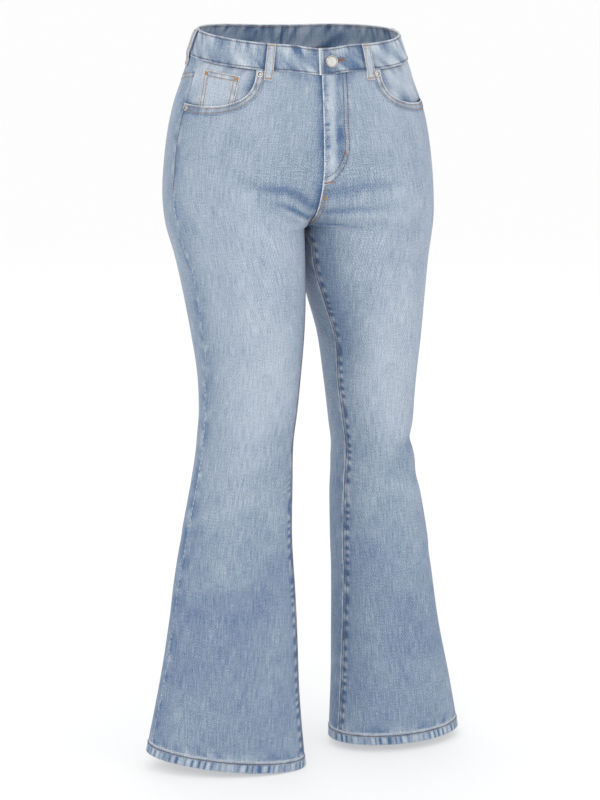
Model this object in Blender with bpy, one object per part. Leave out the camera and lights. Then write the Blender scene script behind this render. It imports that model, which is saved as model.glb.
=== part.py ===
"""Bootcut jeans, hollow as worn: the cut pieces, hems, belt loops, button and rivets."""

import bisect
import math

import bmesh
import bpy
from mathutils import Vector

# Driving sizes, in metres. Level is the drop below the waist rim along the side seam.
WAISTBAND_HEIGHT = 0.036
HEM_LEVEL = 1.008
HEM_HEIGHT = 0.016
SEAM_GAP = 0.0003
DENIM = 0.0014
BAND_INSIDE = -0.0012
BAND_OUTSIDE = 0.0014
CROTCH_LEVEL = 0.258
CROTCH_Y = -0.014
FRONT_RISE_BEND = 0.160
BACK_RISE_BEND = 0.120
RIM_DROP = 0.0021
RIM_SIDE_LIFT = 0.0029
RIM_BACK_LIFT = 0.0066
RIM_SADDLE = 0.0056
RIM_FRONT_DIP = 0.0053
FLY_WIDTH = 0.036
FLY_LEVEL = 0.178
FLY_STEP = 0.0014
POCKET_TOP = {"right": 0.0905, "left": 0.0830}
POCKET_LEVEL = 0.093
POCKET_SQUARENESS = 3.0
YOKE_CENTRE = 0.060
RISE_ROWS = 12
LEG_ROWS = 20
SIDE_ROWS = 3
ROW = (CROTCH_LEVEL - POCKET_LEVEL) / RISE_ROWS
YOKE_SIDE = POCKET_LEVEL - SIDE_ROWS * ROW - WAISTBAND_HEIGHT
LAID_GAP = 0.0009
LOOP_WIDTH = 0.011
LOOP_BELOW = 0.0135
LOOP_FROM_CENTRE = {"right": 0.0715, "left": 0.0640}
BUTTON_RADIUS = 0.0083
RIVET_RADIUS = 0.0044
SPREAD_START = 0.110
SPREAD_END = 0.480
ROUND = 0.55
SAMPLES = 36

# Half sections of the hips, the same on both sides. The peak is where front and back are deepest.
HIP_COLUMNS = ("level", "peak_x", "peak_y", "outer", "front", "back")
HIP_ROWS = (
    (0.000, 0.050, 0.002, 0.0885, 0.096, 0.096),
    (0.036, 0.052, 0.002, 0.0985, 0.102, 0.107),
    (0.066, 0.055, 0.002, 0.1050, 0.106, 0.116),
    (0.100, 0.060, 0.002, 0.1125, 0.109, 0.124),
    (0.133, 0.066, 0.002, 0.1145, 0.111, 0.129),
    (0.177, 0.075, 0.002, 0.1115, 0.112, 0.130),
    (0.219, 0.084, 0.001, 0.1050, 0.111, 0.126),
)

# Sections of each leg. The turn is in degrees, outward, and the half width reaches both seams.
LEG_COLUMNS = ("level", "peak_x", "peak_y", "half_width", "front", "back", "turn")
RIGHT_LEG_ROWS = (
    (0.258, 0.0895, -0.004, 0.0970, 0.1073, 0.1190, 0.0),
    (0.300, 0.0893, -0.012, 0.0878, 0.098, 0.108, 2.0),
    (0.354, 0.0850, -0.018, 0.0825, 0.088, 0.094, 6.0),
    (0.407, 0.0815, -0.020, 0.0770, 0.078, 0.082, 9.0),
    (0.461, 0.0795, -0.020, 0.0710, 0.068, 0.070, 12.0),
    (0.515, 0.0810, -0.020, 0.0675, 0.060, 0.063, 15.0),
    (0.562, 0.0860, -0.020, 0.0668, 0.056, 0.060, 16.0),
    (0.611, 0.0900, -0.020, 0.0696, 0.055, 0.060, 17.0),
    (0.692, 0.0990, -0.023, 0.0765, 0.055, 0.061, 18.0),
    (0.762, 0.1035, -0.026, 0.0840, 0.056, 0.061, 18.0),
    (0.816, 0.1060, -0.028, 0.0885, 0.057, 0.061, 18.0),
    (0.910, 0.1125, -0.030, 0.0975, 0.058, 0.061, 18.0),
    (1.011, 0.1190, -0.032, 0.1114, 0.060, 0.060, 18.0),
)
LEFT_LEG_ROWS = (
    (0.258, 0.0895, 0.004, 0.1006, 0.1088, 0.1203, 0.0),
    (0.315, 0.0945, 0.008, 0.0900, 0.100, 0.106, 1.0),
    (0.370, 0.1020, 0.014, 0.0800, 0.092, 0.094, 2.0),
    (0.424, 0.1085, 0.018, 0.0705, 0.083, 0.083, 4.0),
    (0.493, 0.1110, 0.020, 0.0632, 0.068, 0.070, 6.0),
    (0.549, 0.1130, 0.020, 0.0580, 0.063, 0.068, 7.0),
    (0.583, 0.1150, 0.020, 0.0570, 0.062, 0.068, 8.0),
    (0.631, 0.1180, 0.020, 0.0620, 0.062, 0.067, 8.0),
    (0.718, 0.1260, 0.020, 0.0698, 0.064, 0.068, 8.0),
    (0.767, 0.1300, 0.020, 0.0715, 0.067, 0.072, 8.0),
    (0.847, 0.1360, 0.020, 0.0780, 0.068, 0.074, 8.0),
    (0.928, 0.1440, 0.020, 0.0880, 0.067, 0.073, 8.0),
    (1.011, 0.1500, 0.020, 0.0985, 0.068, 0.073, 8.0),
)
HEM_SLOPE = {"right": 0.080, "left": 0.010}
HEM_TILT = {"right": 0.070, "left": 0.010}

# How far each seam is swung forward of the leg's side, in metres: (level, side seam, inseam).
SWING_ROWS = {
    "right": (
        (0.000, 0.021, 0.0),
        (0.200, 0.024, 0.010),
        (0.272, 0.031, 0.010),
        (0.320, 0.043, 0.012),
        (0.400, 0.044, 0.012),
        (0.500, 0.029, 0.010),
        (1.012, 0.018, 0.006),
    ),
    "left": (
        (0.000, 0.021, 0.0),
        (0.200, 0.022, 0.018),
        (0.258, 0.020, 0.018),
        (0.292, 0.018, 0.038),
        (0.400, 0.016, 0.036),
        (0.500, 0.014, 0.024),
        (1.012, 0.012, 0.013),
    ),
}

# Soft troughs: across is a share of the way from side seam to inner edge, depth is in metres.
FOLD_COLUMNS = ("side", "part", "across_0", "level_0", "across_1", "level_1", "width", "depth")
FOLD_ROWS = (
    ("right", "front", 0.60, 0.187, 0.93, 0.204, 0.013, 0.0030),
    ("left", "front", 0.50, 0.268, 0.95, 0.243, 0.016, 0.0025),
    ("left", "front", 0.00, 0.560, 0.40, 0.592, 0.017, 0.0050),
    ("left", "front", 0.10, 0.628, 0.50, 0.612, 0.018, 0.0025),
    ("right", "front", 0.30, 0.790, 0.75, 0.770, 0.020, 0.0030),
    ("right", "back", 0.55, 0.322, 0.93, 0.304, 0.017, 0.0045),
    ("left", "back", 0.55, 0.328, 0.93, 0.308, 0.017, 0.0045),
    ("right", "back", 0.15, 0.575, 0.85, 0.560, 0.018, 0.0050),
    ("left", "back", 0.20, 0.560, 0.80, 0.580, 0.018, 0.0050),
    ("right", "back", 0.20, 0.625, 0.70, 0.637, 0.018, 0.0030),
    ("left", "back", 0.30, 0.640, 0.85, 0.623, 0.018, 0.0030),
)

OUTWARD = {"right": -1.0, "left": 1.0}
QUARTERS = (("right", "front"), ("right", "back"), ("left", "back"), ("left", "front"))


def smooth(value):
    value = min(max(value, 0.0), 1.0)
    return value * value * (3.0 - 2.0 * value)


def rows_for(side):
    """The hip rows carried on into this side's leg rows, as one table of dictionaries."""
    hips = [dict(zip(HIP_COLUMNS, row)) for row in HIP_ROWS]
    for row in hips:
        row["inner"] = row["peak_x"]
        row["turn"] = 0.0
    leg_rows = RIGHT_LEG_ROWS if side == "right" else LEFT_LEG_ROWS
    legs = [dict(zip(LEG_COLUMNS, row)) for row in leg_rows]
    for row in legs:
        row["outer"] = row["half_width"]
        row["inner"] = row["half_width"]
    legs[0]["inner"] = legs[0]["peak_x"] - 0.0015
    return hips + legs


TABLES = {side: rows_for(side) for side in OUTWARD}


def read_table(side, level, column):
    """A smooth curve through one column of the table, read at this level."""
    rows = TABLES[side]
    last = len(rows) - 2
    index = 0
    while index < last and rows[index + 1]["level"] < level:
        index += 1
    before, start, end, after = (rows[min(max(index + step, 0), last + 1)] for step in (-1, 0, 1, 2))
    span = end["level"] - start["level"]
    share = (level - start["level"]) / span
    slope_0 = (end[column] - before[column]) / (end["level"] - before["level"]) * span
    slope_1 = (after[column] - start[column]) / (after["level"] - start["level"]) * span
    share_2 = share * share
    share_3 = share_2 * share
    return (
        (2 * share_3 - 3 * share_2 + 1) * start[column]
        + (share_3 - 2 * share_2 + share) * slope_0
        + (3 * share_2 - 2 * share_3) * end[column]
        + (share_3 - share_2) * slope_1
    )


def turned(x, y, degrees):
    """Outward and back from the peak, turned outward about it."""
    angle = math.radians(degrees)
    return (x * math.cos(angle) + y * math.sin(angle), x * math.sin(angle) - y * math.cos(angle))


def bezier(points, share):
    rest = 1.0 - share
    weights = (rest**3, 3 * rest * rest * share, 3 * rest * share * share, share**3)
    return tuple(sum(w * p[axis] for w, p in zip(weights, points)) for axis in (0, 1))


def rise_share(part, level):
    bend = FRONT_RISE_BEND if part == "front" else BACK_RISE_BEND
    return min(max((level - bend) / (CROTCH_LEVEL - bend), 0.0), 1.0)


def section_outline(side, part, level):
    """Points (x outward, y) from the side seam over the peak to the centre seam or inseam."""
    columns = ("peak_x", "peak_y", "outer", "inner", "turn", part)
    get = {name: read_table(side, level, name) for name in columns}
    centre = (get["peak_x"], get["peak_y"])
    toward = -1.0 if part == "front" else 1.0

    def local(x, y):
        out, back = turned(x, -y, get["turn"])
        return (centre[0] + out, centre[1] + back)

    depth = get[part] * toward
    seam = local(get["outer"], 0.0)
    peak = local(0.0, depth)
    share = rise_share(part, level)
    crease = smooth(share) ** 1.5
    if share >= 1.0:
        end = local(-get["inner"], 0.0)
        end_handle = local(-get["inner"], depth * ROUND)
        peak_handle = local(-get["inner"] * ROUND, depth)
    else:
        angle = share * math.pi / 2
        end = (0.0015 * crease, CROTCH_Y + (peak[1] - CROTCH_Y) * math.cos(angle))
        along = peak[0] * ROUND * (1.0 - crease)
        end_handle = (end[0] + along, end[1] + (peak[1] - end[1]) * ROUND * crease)
        peak_handle = (peak[0] * (1.0 - ROUND), peak[1])
    outside = (seam, local(get["outer"], depth * ROUND), local(get["outer"] * ROUND, depth), peak)
    inside = (peak, peak_handle, end_handle, end)
    points = [bezier(outside, step / SAMPLES) for step in range(SAMPLES)]
    return points + [bezier(inside, step / SAMPLES) for step in range(SAMPLES + 1)]


def swing(side, level):
    """How far forward the side seam and the inseam lie at this level."""
    rows = SWING_ROWS[side]
    index = min(max(bisect.bisect_right(rows, (level, 9.0)) - 1, 0), len(rows) - 2)
    above, below = rows[index], rows[index + 1]
    share = smooth((level - above[0]) / (below[0] - above[0]))
    side_swing, inner_swing = (above[k] + (below[k] - above[k]) * share for k in (1, 2))
    return side_swing, inner_swing if level >= CROTCH_LEVEL else 0.0


def lengths_along(points):
    walked = [0.0]
    for one, two in zip(points, points[1:]):
        walked.append(walked[-1] + math.dist(one, two))
    return walked


def stretch(points, start, end):
    """The part of a line between two lengths walked along it."""
    walked = lengths_along(points)

    def at(target):
        index = min(max(bisect.bisect_left(walked, target) - 1, 0), len(walked) - 2)
        share = (target - walked[index]) / (walked[index + 1] - walked[index])
        one, two = points[index], points[index + 1]
        return (one[0] + (two[0] - one[0]) * share, one[1] + (two[1] - one[1]) * share)

    kept = [point for point, length in zip(points, walked) if start + 1e-6 < length < end - 1e-6]
    return [at(start)] + kept + [at(end)]


OUTLINES = {}


def outline_at(side, part, level):
    """The quarter's points, the length walked to each, and the length at the peak, kept for the next call."""
    level = round(level, 5)
    key = (side, part, level)
    if key not in OUTLINES:
        front = section_outline(side, "front", level)
        side_swing, inner_swing = swing(side, level)
        total = lengths_along(front)[-1]
        if part == "front":
            points = stretch(front, side_swing, total - inner_swing)
            peak = lengths_along(front)[SAMPLES] - side_swing
        else:
            back = section_outline(side, "back", level)
            points = stretch(front, 0.0, side_swing)[:0:-1] + back
            peak = lengths_along(back)[SAMPLES] + side_swing
            if inner_swing > 1e-5:
                points += stretch(front, total - inner_swing, total)[-2::-1]
        OUTLINES[key] = (points, lengths_along(points), peak)
    return OUTLINES[key]


def girth(side, part, level):
    return outline_at(side, part, level)[1][-1]


def height(side, part, across, level, x, y):
    """The height of a point: its level, with the rim's tilt, the rise curve and the hem's slope."""
    drop = level
    share = rise_share(part, level)
    if 0.0 < share < 1.0:
        bend = FRONT_RISE_BEND if part == "front" else BACK_RISE_BEND
        inner_drop = bend + (CROTCH_LEVEL - bend) * math.sin(share * math.pi / 2)
        drop += (inner_drop - level) * smooth((across - 0.35) / 0.65)
    rim = smooth(1.0 - level / 0.20)
    out = x / 0.138
    tilt = RIM_BACK_LIFT * y / 0.097 - RIM_SIDE_LIFT * out * OUTWARD[side] + RIM_SADDLE * out * out - RIM_DROP
    if part == "front":
        tilt -= RIM_FRONT_DIP * math.exp(-((x / 0.03) ** 2))
    tilt *= rim
    low = smooth((level - 0.55) / 0.40)
    tilt += low * HEM_SLOPE[side] * (x - read_table(side, level, "peak_x"))
    tilt += low * HEM_TILT[side] * (y - read_table(side, level, "peak_y"))
    return tilt - drop


def peak_share(side, part, level):
    """The share across at which the peak lies. It changes slowly past the crotch, so the grid isn't skewed."""
    held = min(max(level, 0.0), SPREAD_START) if level < SPREAD_END else level
    _, walked, peak = outline_at(side, part, held)
    share = peak / walked[-1]
    if SPREAD_START < level < SPREAD_END:
        _, below, low_peak = outline_at(side, part, SPREAD_END)
        spread = smooth((level - SPREAD_START) / (SPREAD_END - SPREAD_START))
        share += (low_peak / below[-1] - share) * spread
    return share


def bare_skin(side, part, across, level):
    points, walked, peak_length = outline_at(side, part, level)
    across = min(max(across, 0.0), 1.0)
    peak = peak_share(side, part, level)
    if across < peak:
        target = peak_length * across / peak
    else:
        target = peak_length + (walked[-1] - peak_length) * (across - peak) / (1.0 - peak)
    index = min(max(bisect.bisect_left(walked, target) - 1, 0), len(walked) - 2)
    share = (target - walked[index]) / (walked[index + 1] - walked[index])
    x = points[index][0] + (points[index + 1][0] - points[index][0]) * share
    y = points[index][1] + (points[index + 1][1] - points[index][1]) * share
    return Vector((OUTWARD[side] * x, y, height(side, part, across, level, x, y)))


def skin_normal(side, part, across, level):
    step = 0.004
    left = bare_skin(side, part, max(across - step, 0.0), level)
    right = bare_skin(side, part, min(across + step, 1.0), level)
    above = bare_skin(side, part, across, max(level - step, 0.0))
    below = bare_skin(side, part, across, level + step)
    normal = (right - left).cross(below - above).normalized()
    facing = 1.0 if (part == "front") == (side == "left") else -1.0
    return normal * facing


def fold_depth(side, part, across, level):
    """How far the soft troughs draw the cloth in here. They run out at the seams."""
    total = 0.0
    side_swing, inner_swing = swing(side, level)
    forward = 1.0 if part == "front" else -1.0
    from_seam = across * girth(side, part, level) + side_swing * forward
    reach = girth(side, part, level) + (side_swing + inner_swing) * forward
    for row in FOLD_ROWS:
        fold = dict(zip(FOLD_COLUMNS, row))
        if (fold["side"], fold["part"]) != (side, part):
            continue
        start = Vector((fold["across_0"] * reach, fold["level_0"]))
        end = Vector((fold["across_1"] * reach, fold["level_1"]))
        here = Vector((from_seam, level))
        along = (end - start).length
        share = (here - start).dot(end - start) / (along * along)
        nearest = start + (end - start) * min(max(share, 0.0), 1.0)
        distance = (here - nearest).length / fold["width"]
        total += fold["depth"] * math.exp(-distance * distance)
    return total * smooth(across / 0.07) * smooth((1.0 - across) / 0.07)


def skin(side, part, across, level, offset=0.0):
    """A point of the cloth, offset outward from its middle."""
    normal = skin_normal(side, part, across, level)
    drawn = fold_depth(side, part, across, level)
    return bare_skin(side, part, across, level) + normal * (offset - drawn)


def round_waist(quarter, level, offset=0.0):
    """A point by quarters of the girth, from centre front over the wearer's right, back and left."""
    if quarter < 0.0:
        return skin("left", "front", 1.0 + quarter, level, offset)
    index = min(int(quarter), 3)
    side, part = QUARTERS[index]
    share = quarter - index
    across = 1.0 - share if index in (0, 2) else share
    return skin(side, part, across, level, offset)


def make_material(name, colour, roughness, metallic=0.0):
    material = bpy.data.materials.new(name)
    material.use_nodes = True
    shader = material.node_tree.nodes["Principled BSDF"]
    shader.inputs["Base Color"].default_value = (*colour, 1.0)
    shader.inputs["Roughness"].default_value = roughness
    shader.inputs["Metallic"].default_value = metallic
    material.diffuse_color = (*colour, 1.0)
    return material


def add_object(name, mesh_builder, material):
    """One closed object from a filled bmesh, with its faces turned outward."""
    bmesh.ops.triangulate(mesh_builder, faces=mesh_builder.faces, quad_method="SHORT_EDGE")
    bmesh.ops.recalc_face_normals(mesh_builder, faces=mesh_builder.faces)
    if mesh_builder.calc_volume(signed=True) < 0.0:
        bmesh.ops.reverse_faces(mesh_builder, faces=mesh_builder.faces)
    mesh = bpy.data.meshes.new(name)
    mesh_builder.to_mesh(mesh)
    mesh_builder.free()
    mesh.materials.append(material)
    made = bpy.data.objects.new(name, mesh)
    bpy.context.scene.collection.objects.link(made)
    return made


def add_cloth(name, place, columns, rows, inside, outside, material, ring=False, skip=(0, 0)):
    """A wall over place(column, row, offset). The first cells named by skip are left out."""
    builder = bmesh.new()
    count = columns if ring else columns + 1
    made = {}

    def corner(i, j, offset):
        key = (i % count, j, offset)
        if key not in made:
            made[key] = builder.verts.new(place(i % count, j, offset))
        return made[key]

    edges = {}
    for j in range(rows):
        for i in range(columns):
            if i < skip[0] and j < skip[1]:
                continue
            loop = ((i, j), (i + 1, j), (i + 1, j + 1), (i, j + 1))
            for offset in (inside, outside):
                builder.faces.new([corner(a, b, offset) for a, b in loop])
            for one, two in zip(loop, loop[1:] + loop[:1]):
                key = frozenset(((one[0] % count, one[1]), (two[0] % count, two[1])))
                edges.setdefault(key, []).append((one, two))
    for uses in edges.values():
        if len(uses) == 1:
            one, two = uses[0]
            inner = [corner(*one, inside), corner(*two, inside)]
            builder.faces.new(inner + [corner(*two, outside), corner(*one, outside)])
    return add_object(name, builder, material)


def inset(side, part, across, level):
    """The share across, kept half a seam gap clear of the edges."""
    margin = SEAM_GAP / 2 / girth(side, part, level)
    return margin + across * (1.0 - 2.0 * margin)


def pocket_edge(side, share):
    """The front pocket's curved edge as (across, level): down from the waistband, then to the side seam."""
    reach = 1.0 - POCKET_TOP[side] / girth(side, "front", WAISTBAND_HEIGHT)
    drop = POCKET_LEVEL - WAISTBAND_HEIGHT
    bend = 0.5 ** (1.0 / POCKET_SQUARENESS)
    along = bend * 2.0 * min(share, 1.0 - share)
    rest = (1.0 - along**POCKET_SQUARENESS) ** (1.0 / POCKET_SQUARENESS)
    across, down = (rest, along) if share < 0.5 else (along, rest)
    return reach * across, WAISTBAND_HEIGHT + drop * down


def add_front(side, material):
    """A front panel. Its grid steps round the pocket opening, and fans out to the centre front."""
    columns, pocket_columns, pocket_rows = 14, 5, 5
    rows = pocket_rows + RISE_ROWS + LEG_ROWS
    top = WAISTBAND_HEIGHT + SEAM_GAP
    bottom = HEM_LEVEL - HEM_HEIGHT - SEAM_GAP

    def beside_pocket(i, j):
        edge, edge_level = pocket_edge(side, 0.5 * j / pocket_rows)
        share = (i - pocket_columns) / (columns - pocket_columns)
        centre_level = top + (POCKET_LEVEL - top) * j / pocket_rows
        level = edge_level + (centre_level - edge_level) * smooth(share * 1.3)
        return edge + (1.0 - edge) * share, max(level, top)

    def below_pocket(i, j):
        if i < pocket_columns:
            across, start_level = pocket_edge(side, 1.0 - 0.5 * i / pocket_columns)
        else:
            across, start_level = beside_pocket(i, pocket_rows)
        row = j - pocket_rows
        if row <= RISE_ROWS:
            level = POCKET_LEVEL + ROW * row
        else:
            level = CROTCH_LEVEL + (bottom - CROTCH_LEVEL) * (row - RISE_ROWS) / LEG_ROWS
        fade = smooth(1.0 - row / 6)
        return i / columns + (across - i / columns) * fade, level + (start_level - POCKET_LEVEL) * fade

    def place(i, j, offset):
        across, level = beside_pocket(i, j) if j < pocket_rows else below_pocket(i, j)
        share = inset(side, "front", across, level)
        raised = 0.0
        if side == "left":
            from_centre = (1.0 - share) * girth(side, "front", level)
            raised = FLY_STEP * smooth((FLY_WIDTH + 0.03 - from_centre) / 0.03)
            raised *= smooth((CROTCH_LEVEL - 0.015 - level) / 0.03)
        return skin(side, "front", share, level, offset + raised)

    skip = (pocket_columns, pocket_rows)
    return add_cloth("front_" + side, place, columns, rows, -DENIM / 2, DENIM / 2, material, skip=skip)


def yoke_level(across):
    return WAISTBAND_HEIGHT + YOKE_SIDE + (YOKE_CENTRE - YOKE_SIDE) * across


def add_back(side, material):
    """A back panel below its yoke."""
    columns, rise_rows = 14, RISE_ROWS + SIDE_ROWS
    bottom = HEM_LEVEL - HEM_HEIGHT - SEAM_GAP

    def place(i, j, offset):
        across = i / columns
        if j <= rise_rows:
            top = yoke_level(across) + SEAM_GAP
            level = top + (CROTCH_LEVEL - top) * j / rise_rows
        else:
            level = CROTCH_LEVEL + (bottom - CROTCH_LEVEL) * (j - rise_rows) / LEG_ROWS
        return skin(side, "back", inset(side, "back", across, level), level, offset)

    return add_cloth("back_" + side, place, columns, rise_rows + LEG_ROWS, -DENIM / 2, DENIM / 2, material)


def add_yoke(side, material):
    columns, rows = 14, 2

    def place(i, j, offset):
        across = i / columns
        top = WAISTBAND_HEIGHT + SEAM_GAP
        level = top + (yoke_level(across) - top) * j / rows
        return skin(side, "back", inset(side, "back", across, level), level, offset)

    return add_cloth("yoke_" + side, place, columns, rows, -DENIM / 2, DENIM / 2, material)


def add_waistband(material):
    """One strip round the waist. Its last stretch steps out over its first at centre front."""
    columns, rows = 64, 2
    underlap = 0.034 / girth("left", "front", 0.0)
    step_start = 0.057 / girth("left", "front", 0.0)
    step = BAND_OUTSIDE - BAND_INSIDE + SEAM_GAP

    def place(i, j, offset):
        quarter = -underlap + i / columns * (4.0 + underlap)
        from_end = 4.0 - quarter
        raised = step * smooth((step_start - from_end) / (step_start - underlap * 1.1))
        return round_waist(quarter, WAISTBAND_HEIGHT * j / rows, offset + raised)

    return add_cloth("waistband", place, columns, rows, BAND_INSIDE, BAND_OUTSIDE, material)


def facing_depth(share):
    """How far the pocket facing is tucked in, from nothing at the side seam."""
    return -0.0038 * smooth((share - 0.005) / 0.12)


def add_facing(side, material):
    """The pocket facing: level with the panels at the side seam, then tucked under the front."""
    columns, rows = 10, 5
    reach = pocket_edge(side, 0.0)[0] + 0.13

    def place(i, j, offset):
        share = reach * i / columns
        top = WAISTBAND_HEIGHT + SEAM_GAP
        bottom = POCKET_LEVEL - 0.0006 + 0.020 * smooth((share - 0.14) / 0.12)
        level = top + (bottom - top) * j / rows
        return skin(side, "front", inset(side, "front", share, level), level, offset + facing_depth(share))

    return add_cloth("pocket_facing_" + side, place, columns, rows, -0.0005, 0.0005, material)


def add_coin_pocket(material):
    """The small pocket on the right facing, its foot tucked under the front panel."""
    columns, rows = 5, 4
    top_level, foot_level = 0.0455, 0.0975
    top_clear, foot_clear = 0.0175, 0.0300
    top_width, foot_width = 0.0600, 0.0520

    def place(i, j, offset):
        across, down = i / columns, j / rows
        level = top_level + (foot_level - top_level) * down + 0.001 * across
        width = top_width + (foot_width - top_width) * down
        clear = top_clear + (foot_clear - top_clear) * down
        share = (clear + width * across) / girth("right", "front", level)
        return skin("right", "front", share, level, offset + facing_depth(share))

    return add_cloth("coin_pocket", place, columns, rows, 0.0010, 0.0020, material)


def add_back_pocket(side, material):
    """A patch pocket with a pointed foot, laid on the back panel and yoke."""
    columns, rows = 8, 6
    top_level, height_at_sides, point = 0.112, 0.112, 0.020
    clear_of_centre, top_width, foot_width = 0.038, 0.136, 0.116

    def place(i, j, offset):
        across, down = i / columns, j / rows
        from_middle = abs(2.0 * across - 1.0)
        level = top_level + (height_at_sides + point * (1.0 - from_middle)) * down - 0.012 * (1.0 - across)
        width = top_width + (foot_width - top_width) * down
        away = clear_of_centre + 0.010 * down + (top_width - width) / 2 + width * across
        share = 1.0 - away / girth(side, "back", level)
        return skin(side, "back", share, level, offset)

    inside = DENIM / 2 + LAID_GAP
    return add_cloth("back_pocket_" + side, place, columns, rows, inside, inside + 0.0012, material)


def add_fly_shield(material):
    """The layer behind the fly, from the waistband down to the foot of the opening."""
    columns, rows = 6, 10
    half_width = 0.020

    def place(i, j, offset):
        level = WAISTBAND_HEIGHT + SEAM_GAP + (FLY_LEVEL - 0.034 - WAISTBAND_HEIGHT) * j / rows
        away = half_width * (2.0 * i / columns - 1.0)
        side = "left" if away >= 0.0 else "right"
        share = 1.0 - abs(away) / girth(side, "front", level)
        return skin(side, "front", share, level, offset)

    return add_cloth("fly_shield", place, columns, rows, -0.0027, -0.0016, material)


def add_belt_loop(name, quarter, material):
    """A narrow strip over the waistband, bowed out between its two stitched ends."""
    columns, rows = 2, 10
    half = LOOP_WIDTH / 2 / girth("right", "front", WAISTBAND_HEIGHT)

    def place(i, j, offset):
        level = 0.0006 + (WAISTBAND_HEIGHT + LOOP_BELOW - 0.0006) * j / rows
        on_band = smooth((WAISTBAND_HEIGHT + 0.006 - level) / 0.006)
        seat = DENIM / 2 + LAID_GAP + (BAND_OUTSIDE - DENIM / 2) * on_band
        bow = 0.0022 * smooth(level / 0.008) * smooth((WAISTBAND_HEIGHT + 0.006 - level) / 0.010)
        here = quarter + half * (2.0 * i / columns - 1.0)
        return round_waist(here, level, offset + seat + bow)

    return add_cloth(name, place, columns, rows, 0.0, 0.0013, material)


def add_hem(side, material):
    """The turned-up hem: a thicker ring below the panels."""
    columns, rows = 40, 2
    top = HEM_LEVEL - HEM_HEIGHT

    def place(i, j, offset):
        around = i / columns
        level = top + HEM_HEIGHT * j / rows
        part = "front" if around < 0.5 else "back"
        share = around * 2.0 if part == "front" else 2.0 - around * 2.0
        return skin(side, part, share, level, offset)

    return add_cloth("hem_" + side, place, columns, rows, -0.0018, 0.0010, material, ring=True)


def add_turned(name, profile, sides, centre, normal, material):
    """A closed turned piece: profile rows are (radius, height) along the normal."""
    builder = bmesh.new()
    points = [builder.verts.new((radius, 0.0, level)) for radius, level in profile]
    edges = [builder.edges.new(pair) for pair in zip(points, points[1:])]
    bmesh.ops.spin(
        builder,
        geom=points + edges,
        axis=(0, 0, 1),
        cent=(0, 0, 0),
        steps=sides,
        angle=math.tau,
        use_merge=True,
    )
    bmesh.ops.remove_doubles(builder, verts=builder.verts, dist=1e-6)
    turn = Vector((0, 0, 1)).rotation_difference(normal)
    for vertex in builder.verts:
        vertex.co = centre + turn @ vertex.co
    return add_object(name, builder, material)


def seat_on(carrier, point):
    """The nearest point of the carrier's surface, a seam gap out, with its normal."""
    _, nearest, normal, _ = carrier.closest_point_on_mesh(point)
    return nearest + normal * SEAM_GAP, normal


def add_button(waistband, material):
    """A plain domed shank button on the upper end of the waistband."""
    quarter = 4.0 - 0.0125 / girth("left", "front", 0.018)
    step = BAND_OUTSIDE - BAND_INSIDE + SEAM_GAP
    seat, normal = seat_on(waistband, round_waist(quarter, 0.0185, BAND_OUTSIDE + step + LAID_GAP))
    radius = BUTTON_RADIUS
    profile = (
        (0.0, 0.0),
        (radius * 0.45, 0.0),
        (radius * 0.45, 0.0014),
        (radius, 0.0016),
        (radius, 0.0026),
        (radius * 0.80, 0.0032),
        (radius * 0.70, 0.0028),
        (0.0, 0.0031),
    )
    return add_turned("button", profile, 20, seat, normal, material)


def add_rivet(name, front, side, share_along, inward, material):
    """A plain rivet beside the pocket edge, seated on the front panel."""
    across, level = pocket_edge(side, share_along)
    here = across + inward[0] / girth(side, "front", level)
    level += inward[1]
    seat, normal = seat_on(front, skin(side, "front", here, level, DENIM / 2 + LAID_GAP))
    radius = RIVET_RADIUS
    profile = (
        (0.0, 0.0),
        (radius, 0.0),
        (radius, 0.0007),
        (radius * 0.75, 0.0012),
        (radius * 0.50, 0.0007),
        (0.0, 0.0013),
    )
    return add_turned(name, profile, 12, seat, normal, material)


def build():
    for old in list(bpy.data.objects):
        bpy.data.objects.remove(old)
    denim = make_material("light_denim", (0.30, 0.41, 0.58), 0.85)
    inside = make_material("denim_facing", (0.27, 0.37, 0.54), 0.88)
    steel = make_material("button_metal", (0.62, 0.62, 0.60), 0.30, 1.0)
    waistband = add_waistband(denim)
    for side in ("right", "left"):
        front = add_front(side, denim)
        add_back(side, denim)
        add_yoke(side, denim)
        add_facing(side, inside)
        add_back_pocket(side, denim)
        add_hem(side, denim)
        add_rivet("rivet_top_" + side, front, side, 0.0, (0.0050, 0.0056), steel)
        add_rivet("rivet_side_" + side, front, side, 1.0, (0.0058, 0.0050), steel)
    add_coin_pocket(denim)
    add_fly_shield(inside)
    right_share = LOOP_FROM_CENTRE["right"] / girth("right", "front", 0.018)
    left_share = LOOP_FROM_CENTRE["left"] / girth("left", "front", 0.018)
    add_belt_loop("belt_loop_front_right", right_share, denim)
    add_belt_loop("belt_loop_front_left", 4.0 - left_share, denim)
    add_belt_loop("belt_loop_side_right", 1.16, denim)
    add_belt_loop("belt_loop_side_left", 2.84, denim)
    add_belt_loop("belt_loop_back", 2.0, denim)
    add_button(waistband, steel)


build()
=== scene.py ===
import math

import bmesh
import bpy
import numpy as np
from mathutils import Matrix, Vector
from mathutils.bvhtree import BVHTree


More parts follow.
